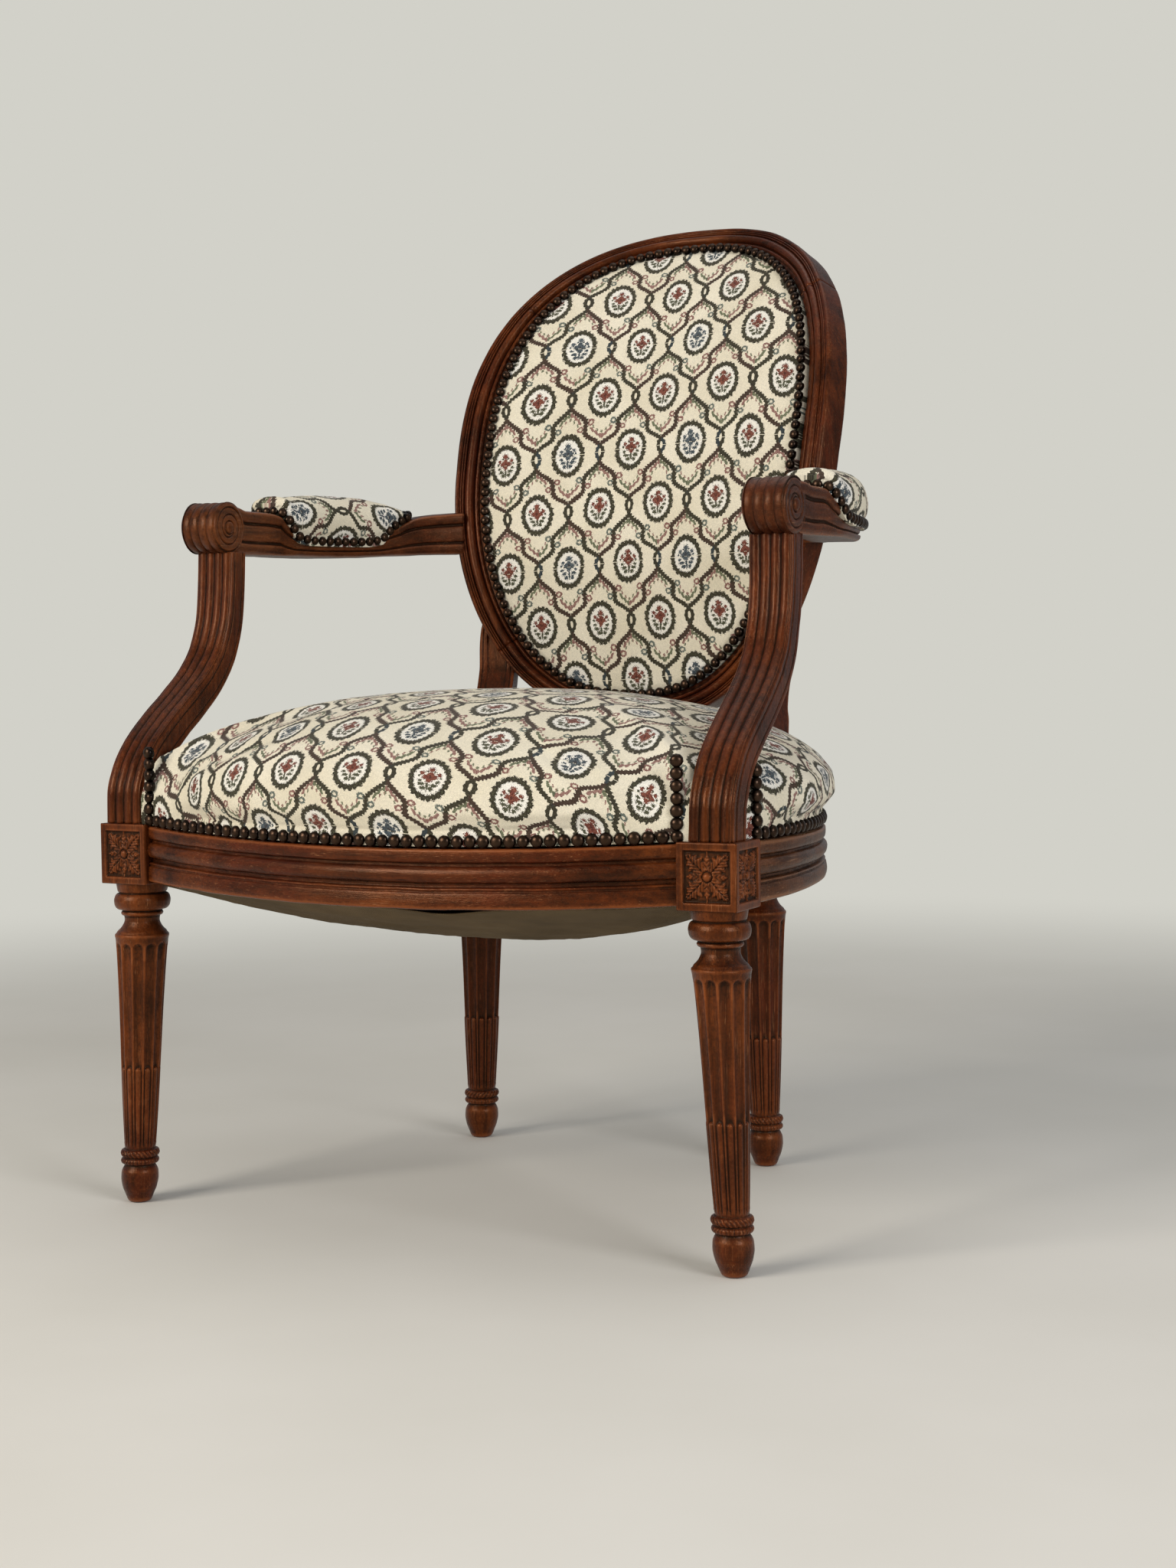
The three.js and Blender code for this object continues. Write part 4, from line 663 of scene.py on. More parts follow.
support_rows = [  # rise, then reach back, lean in, width and depth as shares
    (0, 0, 0, 1, 1), (0.1, 0.005, 0, 1, 1), (0.17, 0.05, 0.02, 1, 1), (0.25, 0.15, 0.08, 1, 0.97),
    (0.34, 0.34, 0.2, 1, 0.95), (0.43, 0.56, 0.4, 1, 0.93), (0.52, 0.75, 0.6, 1, 0.9),
    (0.62, 0.885, 0.78, 1, 0.87), (0.76, 0.965, 0.92, 1.01, 0.84), (0.9, 0.99, 0.98, 1.02, 0.83),
    (1, 1, 1, 1.02, 0.83)]
SUPPORT_HALF, SUPPORT_HALF_DEPTH = 18, 14.5


def arm_support(seed):
    """The stump: its middle line rises from the block, sweeps back and rises again to the arm. The
    section is square to the line, with four rounded reeds in front, one line cut along each side and
    rounded corners behind."""
    rise = np.linspace(0, 1, 150)
    low, high = BLOCK_TOP + 0.3, ARM_BOTTOM + 1.2
    reach, lean, width, depth = curves(support_rows, rise)
    line = np.stack([SUPPORT_X - 5 * lean, SUPPORT_REACH * reach - SUPPORT_IN, low + (high - low) * rise], -1)
    along = smoothed(np.gradient(line, axis=0), 6, closed=False)
    along[0] = along[-1] = (0, 0, 1)
    along = unit(along)
    across = unit(np.array([1.0, 0, 0]) - along * along[:, :1])
    back = np.cross(along, across)
    wide, deep = SUPPORT_HALF * width[:, None], SUPPORT_HALF_DEPTH * depth[:, None]
    a = np.linspace(-0.94, 0.94, 76)
    reeds = 3.1 * (1 - np.abs(np.cos((a / 0.94 + 1) * TURN + math.pi / 2)) ** 0.6) - 0.3
    reeds = np.where(np.abs(a) > 0.9, reeds * 0.4, reeds)
    b = np.linspace(-0.9, 0.86, 36)
    cut = 1.1 * np.exp(-((b + 0.42) / 0.055) ** 2) + 0.7 * np.exp(-((b - 0.45) / 0.05) ** 2)
    side = wide - cut - 1.6 * np.maximum(np.abs(b) - 0.75, 0) / 0.15
    rear = np.linspace(0.8, -0.8, 20) * wide
    u = np.concatenate([a * wide, side, rear, -side[:, ::-1]], 1)
    w = np.concatenate([reeds - deep, b * deep, deep + 0 * rear, (b * deep)[:, ::-1]], 1)
    points = line[:, None] + across[:, None] * u[..., None] + back[:, None] * w[..., None]
    return weathered(points, seed, 0.25, (4, 12))


for side, label in SIDES:
    wood = [to_side(side, arm_body(51, LATE[label])), to_side(side, drum(53 + side))]
    build("arm_" + label + "_wood", wood, beech_arm, "stained_beech", "arm_" + label)
    build("support_" + label, [to_side(side, arm_support(57 + side))], beech_upright, "stained_beech",
          "arm_support_" + label)

# Stuffed seat
# Horsehair over springs and webbing, covered in woven tapestry that is pulled over the rails and
# close-nailed just above them. It stands full in front, swells at the sides and is cut round the
# supports and the rear posts.
STEP, ROW = 61, 54  # from wreath to wreath across the cloth and down it
WREATH, LINK = (16.5, 21.3), (5.1, 7.9)  # half sizes


def tapestry_cloth():
    """Woven tapestry: ivory ground with a lattice of dark green wreaths, each round a white oval with
    a dark red or blue-grey flower, joined by waved ribbons, links, bows and fine sprigs. Each next row
    of wreaths is half a step across. The pattern is laid on the cloth's own lengths (weave, in mm) and
    drawn in stitches of half a millimetre; the threads give the eye a dry, ribbed face."""
    made, tree, shader = finish_of("tapestry")
    node = functools.partial(add, tree)

    def either(*masks):
        """The largest of the masks."""
        return functools.reduce(functools.partial(node, "MAXIMUM"), masks)

    def reach(a, b, wide, high):
        """How far out of an ellipse a place is: the root of (a / wide) squared plus (b / high) squared."""
        a, b = node("POWER", node("DIVIDE", a, wide), 2.0), node("POWER", node("DIVIDE", b, high), 2.0)
        return node("SQRT", node("ADD", a, b))

    def turn_in(a, b, wide, high):
        """The angle round an ellipse, whose half sizes count as 1."""
        return node("ARCTAN2", node("DIVIDE", b, high), node("DIVIDE", a, wide))

    def spot(a, b, wide, high, fray):
        """A mask inside an ellipse with a frayed edge."""
        return node("LESS_THAN", node("ADD", reach(a, b, wide, high), node("MULTIPLY", ragged, fray)), 1.0)

    lengths = node("Attribute", out="Vector", attribute_name="weave")
    wander = node("TexNoise", {"Vector": lengths, "Scale": 0.06, "Detail": 1}, out=1)
    wander = node("VectorMath", wander, (0.5, 0.5, 0.5), operation="SUBTRACT")
    wander = node("VectorMath", {0: wander, 3: 3.0}, operation="SCALE")
    moved = node("VectorMath", lengths, wander, operation="ADD")
    stitch = node("VectorMath", moved, (0.5, 0.5, 0.5), operation="SNAP")
    u, v = node("SeparateXYZ", stitch, out=0), node("SeparateXYZ", stitch, out=1)
    thread = node("TexWhiteNoise", stitch, noise_dimensions="3D")
    ragged = node("MULTIPLY", node("SUBTRACT", thread, 0.5), 0.16)

    # Every ribbon runs from a link down to the next one: across is the distance from the column of
    # the link above it, and down the distance below that link.
    x = node("PINGPONG", u, STEP / 2)
    fallen = node("MULTIPLY", v, -1.0)
    odd = node("SUBTRACT", 1.0, node("GREATER_THAN", node("WRAP", fallen, 2 * ROW, 0.0), ROW))
    across = node("ABSOLUTE", node("SUBTRACT", node("MULTIPLY", odd, STEP / 2), x))
    down = node("WRAP", fallen, ROW, 0.0)
    paths = []
    for shift in (0.0, 0.5, -0.5):
        lower = node("ADD", down, shift)
        bends = [node("MapRange", lower, start, end, 0.0, far, interpolation_type="SMOOTHSTEP")
                 for start, end, far in ((7.5, 26.0, 15.4), (34.0, 49.0, 15.1))]
        paths.append(node("ADD", *bends))
    line, lean = paths[0], node("SUBTRACT", paths[1], paths[2])
    off = node("ABSOLUTE", node("SUBTRACT", across, line))
    off = node("DIVIDE", off, node("SQRT", node("ADD", 1.0, node("MULTIPLY", lean, lean))))
    beat = node("MULTIPLY", node("ADD", down, node("MULTIPLY", across, 0.8)), 1.7)
    wave = node("ADD", 2.15, node("MULTIPLY", 0.6, node("SINE", beat)))
    ribbon = node("MULTIPLY", node("LESS_THAN", node("ADD", off, node("MULTIPLY", ragged, 3.0)), wave),
                  node("LESS_THAN", node("ABSOLUTE", node("SUBTRACT", down, ROW / 2)), 21.0))

    # A place on one side of its ribbon belongs to the wreath in the first column and a place on the
    # other side to the wreath in the second: a is how far it is across from that wreath's middle, and
    # b how high over it.
    above = node("GREATER_THAN", across, line)
    second = node("ABSOLUTE", node("SUBTRACT", above, odd))
    first = node("SUBTRACT", 1.0, second)
    a = node("ADD", node("MULTIPLY", first, x), node("MULTIPLY", second, node("SUBTRACT", STEP / 2, x)))
    b = node("WRAP", node("ADD", v, node("MULTIPLY", second, ROW)), ROW, -ROW)
    shape, turn = reach(a, b, *WREATH), turn_in(a, b, *WREATH)
    lobes = node("ABSOLUTE", node("COSINE", node("MULTIPLY", turn, 11.0)))
    fringe = node("ADD", shape, node("MULTIPLY", ragged, 0.5))
    ring = node("MULTIPLY", node("LESS_THAN", fringe, node("ADD", 0.9, node("MULTIPLY", lobes, 0.075))),
                node("GREATER_THAN", fringe, node("SUBTRACT", 0.725, node("MULTIPLY", lobes, 0.04))))
    beads = node("MULTIPLY", node("COSINE", node("MULTIPLY", turn, 22.0)),
                 node("COSINE", node("MULTIPLY", node("SUBTRACT", shape, 0.84), 24.0)))
    fleck = node("MULTIPLY", ring, node("GREATER_THAN", beads, 0.7))
    inside = node("LESS_THAN", shape, 0.73)

    # A flower with four petals, a bud over it, a bud at each side and leaves on a stem below.
    top = node("SUBTRACT", b, 1.4)
    petal = node("COSINE", node("MULTIPLY", node("ARCTAN2", top, a), 4.0))
    petal = node("ADD", 5.0, node("MULTIPLY", petal, 0.9))
    out = node("SQRT", node("ADD", node("MULTIPLY", a, a), node("MULTIPLY", top, top)))
    flower = node("LESS_THAN", node("ADD", out, node("MULTIPLY", ragged, 14.0)), petal)
    heart = spot(a, node("SUBTRACT", top, 0.3), 1.3, 1.5, 5.0)
    buds = either(spot(a, node("SUBTRACT", b, 8.6), 2.7, 2.6, 5.0),
                  spot(node("SUBTRACT", a, 6.2), node("SUBTRACT", b, 4.6), 1.8, 1.9, 5.0))
    leaves = either(*[spot(node("SUBTRACT", a, to_side), node("SUBTRACT", b, up), wide, high, 5.0)
                      for to_side, up, wide, high in (
                          (6.6, -2.6, 1.9, 1.3), (4.6, -6.0, 2.7, 1.6), (2.9, -9.6, 2.0, 1.9),
                          (0.0, -7.0, 1.0, 4.6), (7.8, 1.7, 1.0, 1.2), (2.6, 6.9, 1.2, 1.0))])
    petals = either(flower, buds)
    column = node("WRAP", node("FLOOR", node("DIVIDE", u, STEP)), 2.0, 0.0)
    blue = node("MULTIPLY", second, node("GREATER_THAN", column, 0.5))

    lower = node("GREATER_THAN", down, ROW / 2)
    c = node("ABSOLUTE", node("SUBTRACT", across, node("MULTIPLY", lower, STEP / 2)))
    d = node("ABSOLUTE", node("SUBTRACT", down, node("MULTIPLY", lower, ROW)))
    scallop = node("ABSOLUTE", node("COSINE", node("MULTIPLY", turn_in(c, d, *LINK), 5.0)))
    rim = node("ADD", 0.86, node("MULTIPLY", scallop, 0.14))
    link = node("MULTIPLY", node("LESS_THAN", reach(c, d, *LINK), rim),
                node("GREATER_THAN", node("ADD", reach(c, d, 1.35, 3.5), ragged), 1.0))

    bows = []
    for place_across, place_down in ((19.8, 24.0), (10.9, 30.6)):
        bow = reach(node("SUBTRACT", across, place_across), node("SUBTRACT", down, place_down), 3.3, 3.1)
        bow = node("ADD", bow, node("MULTIPLY", ragged, 2.0))
        bows.append(node("MULTIPLY", node("LESS_THAN", bow, 1.0), node("GREATER_THAN", bow, 0.42)))
    bow = either(*bows)

    # Fine vines: an arch under each link, from bow to bow, and its mirror image over the next link,
    # each with sprigs on its outer side. Its crest is a hyperbola.
    vines, sprigs = [], []
    for base, low, toward in ((0.0, 15.5, 1.0), (STEP / 2, 38.5, -1.0)):
        out = node("ABSOLUTE", node("SUBTRACT", across, base))
        crest = node("ADD", node("MULTIPLY", node("MULTIPLY", out, out), 1.15 * 1.15), 9.0)
        height = node("SUBTRACT", node("MULTIPLY", node("SUBTRACT", down, low), toward),
                      node("SUBTRACT", node("SQRT", crest), 3.0))
        beat = node("MULTIPLY", out, 1.7)
        for drawn, over, thick, sway, phase, end in (
                (vines, 0.0, 1.8, 0.8, 0.0, 10.5), (sprigs, 4.2, 0.3, 1.3, 1.2, 9.0)):
            gap = node("ADD", node("ABSOLUTE", node("SUBTRACT", height, over)), node("MULTIPLY", ragged, 5.0))
            wide = node("ADD", thick, node("MULTIPLY", node("SINE", node("ADD", beat, phase)), sway))
            drawn.append(node("MULTIPLY", node("LESS_THAN", gap, wide), node("LESS_THAN", out, end)))
    vine, sprig = either(*vines), either(*sprigs)
    patch = node("ADD", node("MULTIPLY", node("FLOOR", node("DIVIDE", u, STEP / 2)), 2.4),
                 node("MULTIPLY", node("FLOOR", node("DIVIDE", v, ROW / 2)), 1.7))
    swap = node("GREATER_THAN", node("SINE", patch), -0.1)

    tone = node("TexNoise", {"Vector": lengths, "Scale": 0.016, "Detail": 3})
    green, grass, rose, red, slate = (
        node("Mix", {0: thread, 6: dark, 7: light}, **RGBA) for dark, light in (
            ("#25211a", "#464231"), ("#3f4836", "#6c7052"), ("#6a403c", "#946f66"),
            ("#54241f", "#84503f"), ("#2c343c", "#5a6468")))
    dyed_sprig, dyed_vine, dyed_bow, dyed_ribbon, dyed_link, dyed_leaf, dyed_petal = (
        node("Mix", {0: share, 6: one, 7: other}, **RGBA) for share, one, other in (
            (swap, rose, grass), (swap, grass, rose), (swap, "#3c4c48", "#6f3a38"),
            (node("MULTIPLY", swap, 0.35), green, "#4f302c"), (node("MULTIPLY", blue, 0.5), green, "#2f414c"),
            (blue, "#4a4a37", "#3d474c"), (blue, red, slate)))
    face = "#d3cab2"
    for share, dye in (
            (node("MapRange", tone, 0.35, 0.65, 0.0, 1.0), "#ddd5c0"), (inside, "#e0dcd1"),
            (node("MULTIPLY", sprig, 0.9), dyed_sprig), (node("MULTIPLY", vine, 0.95), dyed_vine),
            (node("MULTIPLY", bow, 0.9), dyed_bow), (ribbon, dyed_ribbon), (link, dyed_link), (ring, green),
            (node("MULTIPLY", fleck, 0.6), "#55593f"), (node("MULTIPLY", leaves, inside), dyed_leaf),
            (node("MULTIPLY", petals, inside), dyed_petal), (node("MULTIPLY", heart, 0.55), "#2a1613")):
        face = node("Mix", {0: share, 6: face, 7: dye}, **RGBA)
    shade = node("MapRange", thread, 0.0, 1.0, 0.82, 1.08)
    shade = node("CombineColor", shade, shade, shade)
    face = node("Mix", {0: 1.0, 6: face, 7: shade}, blend_type="MULTIPLY", **RGBA)
    drawn = either(ribbon, ring, link, petals, leaves, bow)
    ribs = node("ABSOLUTE", node("SINE", node("MULTIPLY", node("SeparateXYZ", moved, out=1), 3.9)))
    rise = node("ADD", drawn, node("ADD", node("MULTIPLY", ribs, 0.5), node("MULTIPLY", thread, 0.5)))
    bump = node("Bump", {"Height": rise, "Strength": 0.5, "Distance": 0.00025})
    fill(tree, shader, {"Base Color": face, "Roughness": 0.88, "Normal": bump, "Sheen Weight": 0.08,
                        "Sheen Roughness": 0.5, "Specular IOR Level": 0.2})
    return made


def laid(lengths, origin, across, upward):
    """Where the pattern falls on a piece: origin is the middle of one wreath on the piece's own cloth
    lengths, across the step to the next one in its row and upward the step by one row; the places
    are turned into steps and these into the pattern's own."""
    steps = np.linalg.solve(np.array([across, upward], float).T, (lengths - origin)[..., None])[..., 0]
    return steps * [STEP, ROW]


def read_points(mesh, what="co"):
    """The vertices' places (or normals) of a mesh as rows of three numbers."""
    flat = np.zeros(len(mesh.vertices) * 3, np.float32)
    mesh.vertices.foreach_get(what, flat)
    return flat.reshape(-1, 3).astype(float)


def tree_of(points):
    """A search tree over points."""
    tree = KDTree(len(points))
    for n, at in enumerate(points):
        tree.insert(at, n)
    tree.balance()
    return tree


def stuffed(piece, held, slack, cap):
    """Fills the cover out with Blender's cloth: a copy of the piece, remeshed at 5 mm and set inward by
    the slack, is blown up at pressure 4 without gravity for 20 frames, held where the cover is nailed.
    Each point of the piece then moves as the nearest points of the copy did, weighed by 1 over the
    squared distance and capped, and the copy is deleted."""
    scene, mesh, last = bpy.context.scene, piece.data, 20
    places = read_points(mesh)
    trial = bpy.data.objects.new(piece.name + "_trial", mesh.copy())
    scene.collection.objects.link(trial)
    even = trial.modifiers.new("even", "REMESH")
    even.mode, even.voxel_size = "VOXEL", 0.005
    trial.data = bpy.data.meshes.new_from_object(trial.evaluated_get(bpy.context.evaluated_depsgraph_get()))
    trial.modifiers.clear()
    rest = read_points(trial.data)
    near = tree_of(places)
    fixed = held[[near.find(at)[1] for at in rest]]
    start = rest - read_points(trial.data, "normal") * (slack / 1000 * ~fixed)[:, None]
    trial.data.vertices.foreach_set("co", start.astype(np.float32).ravel())
    trial.vertex_groups.new(name="nailed").add(np.flatnonzero(fixed).tolist(), 1.0, "REPLACE")
    cloth = trial.modifiers.new("cloth", "CLOTH")
    cloth.settings.use_pressure, cloth.settings.uniform_pressure_force = True, 4
    cloth.settings.vertex_group_mass = "nailed"
    cloth.settings.effector_weights.gravity = 0
    cloth.point_cache.frame_start, cloth.point_cache.frame_end = 1, last
    for moment in range(1, last + 1):
        scene.frame_set(moment)
    blown = trial.evaluated_get(bpy.context.evaluated_depsgraph_get()).to_mesh()
    move = read_points(blown) - rest
    scene.frame_set(1)
    bpy.data.objects.remove(trial)
    length = np.linalg.norm(move, axis=1, keepdims=True)
    move = move * np.minimum(1, cap / 1000 / np.maximum(length, 1e-9))
    near, shift = tree_of(rest), np.zeros_like(places)
    for n, at in enumerate(places):
        found = near.find_n(at, 8)
        weight = np.array([1 / (gap + 0.001) ** 2 for _, _, gap in found])
        shift[n] = weight @ move[[index for _, index, _ in found]] / weight.sum()
    shift[held] = 0
    mesh.vertices.foreach_set("co", (places + shift).astype(np.float32).ravel())
    mesh.update()


tapestry = tapestry_cloth()
SEAT_Y, SEAT_CROWN, SEAT_IN, FILL = REAR_Y / 2 - 10, 111, 3, 6


def angle_to(x, y):
    """The angle from the front, about the seat's middle, at which a plan place lies."""
    return np.arctan2(x, SEAT_Y - y)


def place_at(angle, out):
    """The plan place at an angle from the front and a distance from the seat's middle."""
    return np.sin(angle) * out, SEAT_Y - np.cos(angle) * out


def half_turn(angle):
    """How far an angle is from the front on either side, from 0 to pi."""
    return np.abs((angle + math.pi) % TURN - math.pi)


def seat_outline(inset):
    """Right half of the seat's outline in plan, from the middle of the front to the middle of the
    back, drawn in by an inset."""
    x = np.linspace(0, FRONT_HALF + FRONT_WIDTH * 0.4, 60)
    front = np.stack([x, front_face(np.minimum(x, FRONT_HALF)) + inset], -1)
    at, out, _, _ = side_station(np.linspace(0.02, 0.98, 90))
    x = np.linspace(REAR_HALF, 0, 30)
    return np.concatenate([front, at - out * inset, np.stack([x, rail_rear_face(x) - inset], -1)])


def well_outline(inset):
    """Right half of the line inside the seat frame, drawn in by an inset."""
    clear = RAIL_THICK + inset
    x = np.linspace(0, FRONT_HALF - clear / 4, 40)
    front = np.stack([x - clear * 2 * FRONT_BOW * x / FRONT_HALF ** 2, front_face(x) + clear], -1)
    at, out, _, _ = side_station(np.linspace(0.06, 0.9, 60))
    x = np.linspace(REAR_HALF - inset, 0, 20)
    return np.concatenate([front, [(FRONT_HALF - inset, SIDE_FRONT + inset)], at - out * clear,
                           [(REAR_HALF - inset, REAR_Y - REAR_WIDTH / 2 - inset)],
                           np.stack([x, rail_rear_face(x) - clear], -1)])


def reach_of(outline, angle):
    """Distance from the seat's middle to an outline, at an angle from the front, either side."""
    way = angle_to(*outline.T)
    far = np.hypot(outline[:, 0], SEAT_Y - outline[:, 1])
    order = np.argsort(way)
    return np.interp(half_turn(angle), way[order], far[order])


def rail_top(x, y):
    """Top of the rails under a place: the front one dips between its blocks."""
    share = np.clip((SIDE_FRONT - y) / (SIDE_FRONT + FRONT_IN), 0, 1)
    return RAIL_TOP - share * front_drop(np.minimum(np.abs(x), FRONT_HALF))


def swell(angle):
    """How freely the sides swell at an angle: 0 beside the supports and the rear posts, 1 beyond."""
    posts = [angle_to(x, y) for x, y in ((SUPPORT_X, -SUPPORT_IN), (REAR_X, REAR_Y))]
    return math.prod(ease((np.abs(half_turn(angle) - post) - 0.12) / 0.24) for post in posts)


seat_rows = [  # way up the surface, then reach, rise, swelling and tuck as shares
    (0, 1, 0.012, 0, 0), (1, 1, 0.095, 0, 0), (2, 1, 0.15, 0.5, 0), (3, 1.004, 0.23, 1, 0.15),
    (4, 1.002, 0.36, 1, 0.6), (5, 0.985, 0.49, 0.45, 1), (6, 0.935, 0.62, 0.1, 1), (7, 0.85, 0.745, 0, 0.8),
    (8, 0.72, 0.85, 0, 0.4), (9, 0.54, 0.93, 0, 0), (10, 0.33, 0.975, 0, 0), (11, 0.15, 0.995, 0, 0),
    (12, 0.0, 1, 0, 0)]


def seat_skin():
    """The stuffed seat: rings from its underside over the nailed edge and the swelling sides to the
    crown. Its cloth lengths are the plan place, moved outward by what the surface's own length adds
    over the plan distance, so the pattern runs true over the top and hangs down the front."""
    angle = around(420)[None]
    far = reach_of(seat_outline(SEAT_IN), angle)
    share, rise, bulge, tuck = curves(seat_rows, stretches((0, 8, 56), (8, 11.85, 28))[:, None])
    free = swell(angle)
    full, cut = bulge * (6 + 6 * np.abs(np.sin(angle))) * free, tuck * 16 * (1 - free)
    out = np.maximum(far * np.maximum(share, 0.012) + full - cut, 2)
    x, y = place_at(angle, out)
    base = rail_top(x, y) + 0.3
    at = np.stack([x, y, base + (RAIL_TOP + SEAT_CROWN - base) * rise], -1)
    spare = length_along(at[::-1])[::-1] + out[-1:] - out
    edge = np.stack(place_at(angle, far), -1)[0]
    along = np.roll(edge, -3, 0) - np.roll(edge, 3, 0)
    normal = unit(np.stack([along[:, 1], -along[:, 0]], -1))
    for _ in range(30):
        normal = unit(smoothed(normal, 1))
    weave = at[..., :2] + spare[..., None] * normal
    low = at[:1] * 0.9 + [0, SEAT_Y * 0.1, 0]
    low[..., 2] = at[:1, :, 2]
    return np.concatenate([low, at]), np.concatenate([weave[:1], weave])


def strained(weave):
    """The pattern as the cloth was pulled over the seat: each laid place moves by terms in p and q,
    its hundredths, which bring the wreaths to where the photograph shows them."""
    p, q = np.clip(weave[..., 0] / 100, -2.4, 1.6), np.clip(weave[..., 1] / 100, -0.6, 1.3)
    sideways = 1.4 - 14.9 * p + 13.1 * q - 0.8 * p * q - 0.8 * q ** 2 + 3.8 * p ** 3
    upward = -0.8 + 3.4 * p - 5.1 * q + 0.6 * p ** 2 + 4.3 * p * q - 9.2 * q ** 2 - 0.7 * p ** 3
    return weave + np.stack([sideways, upward], -1)


rings, weave = seat_skin()
weave = strained(laid(weave, (59.4, -82.4), (63.1, -3.6), (7, 47.7)))
x, y, z = np.moveaxis(rings, -1, 0)
held = z < rail_top(x, y) + np.where(swell(angle_to(x, y)) < 0.5, 60, 12)
rings[..., 2] -= FILL * ease((z - RAIL_TOP - 40) / 60)
seat = build("seat", [skin(rings, weave=weave)], tapestry, "tapestry", "seat_cushion")
stuffed(seat, np.append(held.ravel(), [True, False]), 1.7, FILL)

# Padded back
# A hair pad on a canvas inside the oval, covered in the same tapestry and close-nailed round its edge;
# behind it a second panel of the cloth closes the oval at the rear.
PAD_IN = FRAME_WIDTH + 1
pad_rows = [  # way up the surface, then the share of the oval and the depth behind its face
    (0, 1, 1.4), (1, 1, -0.2), (2, 0.985, -1.2), (3, 0.955, -4.8), (4, 0.9, -8.8), (5, 0.8, -13),
    (6, 0.65, -16.4), (7, 0.45, -18.6), (8, 0.22, -19.7), (9, 0.0, -20)]
REAR_RINGS, EDGE_RINGS = 4, 12


def oval_rings(share, depth):
    """Rings inside the oval at shares of its half sizes, each at its depth behind the front face."""
    u, v = oval(around(330)[None], PAD_IN)
    return back_point(u * share[:, None], v * share[:, None], depth[:, None] + 0 * u), u, v


def back_pad():
    """The pad's rings: straight up at the nailed edge, then a crown that rises 20 before the frame's
    face and flattens towards the middle. Its cloth lengths run from the middle outward."""
    share, depth = curves(pad_rows, stretches((0, 3, EDGE_RINGS), (3, 8.9, 46)))
    share = np.maximum(share, 0.012)
    rings, u, v = oval_rings(share, depth)
    length = length_along(rings[::-1])[::-1] + np.hypot(u, v) * share[-1]
    weave = unit(np.stack([u, v], -1)) * length[..., None]
    rear_share = np.array([0.4, 0.8, 1, 1])
    rear = oval_rings(rear_share, np.array([12.5, 12.5, 12.2, 6]))[0]
    return np.concatenate([rear, rings]), np.concatenate([weave[:1] * rear_share[:, None, None], weave])


rings, weave = back_pad()
weave = laid(weave, (-60.6, 170.6), (62.7, 3.7), (-5.1, 54.3))
back = build("back_pad_cover", [skin(rings, weave=weave)], tapestry, "tapestry", "back_pad")
held = np.repeat(np.arange(len(rings)) < REAR_RINGS + EDGE_RINGS, rings.shape[1])
stuffed(back, np.append(held, [True, False]), 0.9, 6)


def cloth_of(name, thread_code, gap_code, pitch, rough=0.95):
    """Plain woven cloth for the hidden sides: two shades of thread crossing at a pitch in mm, with a
    dusty mottle; the eye sees a coarse dry weave."""
    made, tree, shader = finish_of(name)
    place = add(tree, "TexCoord", out="Object")
    threads = {"Vector": place, "Scale": 1000 / pitch / 20 * math.pi}
    weft = add(tree, "MULTIPLY", *[add(tree, "TexWave", threads, out=1, bands_direction=way) for way in "XY"])
    mottle = add(tree, "TexNoise", {"Vector": place, "Scale": 14, "Detail": 6, "Roughness": 0.65})
    dust = add(tree, "MapRange", mottle, 0.35, 0.7, 0.72, 1.12)
    dust = add(tree, "CombineColor", dust, dust, dust)
    base = add(tree, "Mix", {0: weft, 6: gap_code, 7: thread_code}, **RGBA)
    base = add(tree, "Mix", {0: 1.0, 6: base, 7: dust}, blend_type="MULTIPLY", **RGBA)
    bump = add(tree, "Bump", {"Height": weft, "Strength": 0.5, "Distance": 0.0005})
    fill(tree, shader, {"Base Color": base, "Roughness": rough, "Normal": bump, "Specular IOR Level": 0.2})
    return made


canvas = cloth_of("canvas", "#a3946f", "#6b5f45", 1.6)
share, depth = np.array([0.02, 0.5, 1, 1, 0.5, 0.02]), np.repeat([12.8, 14.3], 3)
build("back_canvas_sheet", [skin(oval_rings(share, depth)[0])], canvas, "webbing", "back_canvas")
share = np.array([0.02, 0.3, 0.6, 0.85, 0.97, 1, 1, 0.97, 0.9, 0.8, 0.65, 0.5, 0.35, 0.2, 0.02])
depth = np.array([21, 21, 21, 21, 21, 21, 22.6, 23.1, 23.9, 24.9, 26, 26.6, 26.9, 27, 27])
rings, u, v = oval_rings(share, depth)
weave = laid(np.stack([-u * share[:, None], v * share[:, None]], -1), (10, 4), (STEP, 0), (0, ROW))
build("outside_back", [skin(rings, weave=weave)], tapestry, "tapestry", "back_outside_cover")

# Arm pads
# Small hair pads on the arms under the same cloth, its length along the arm, close-nailed all round.
PAD_START, PAD_END, PAD_HALF, PAD_HEIGHT, PAD_BAND = 0.208, 0.84, 29, 38, 8.6
pad_along = [  # place along the arm, half width share, lower edge on the arm, crown
    (0.208, 0.5, 0.8, 0.1), (0.216, 0.66, 0.765, 0.22), (0.23, 0.8, 0.68, 0.4), (0.25, 0.88, 0.55, 0.56),
    (0.28, 0.93, 0.36, 0.75), (0.31, 0.96, 0.26, 0.88), (0.4, 1, 0.215, 0.987), (0.55, 1, 0.215, 1.02),
    (0.68, 0.98, 0.22, 0.99), (0.745, 0.91, 0.28, 0.85), (0.785, 0.82, 0.55, 0.476),
    (0.83, 0.65, 0.69, 0.195), (0.84, 0.5, 0.735, 0.084)]
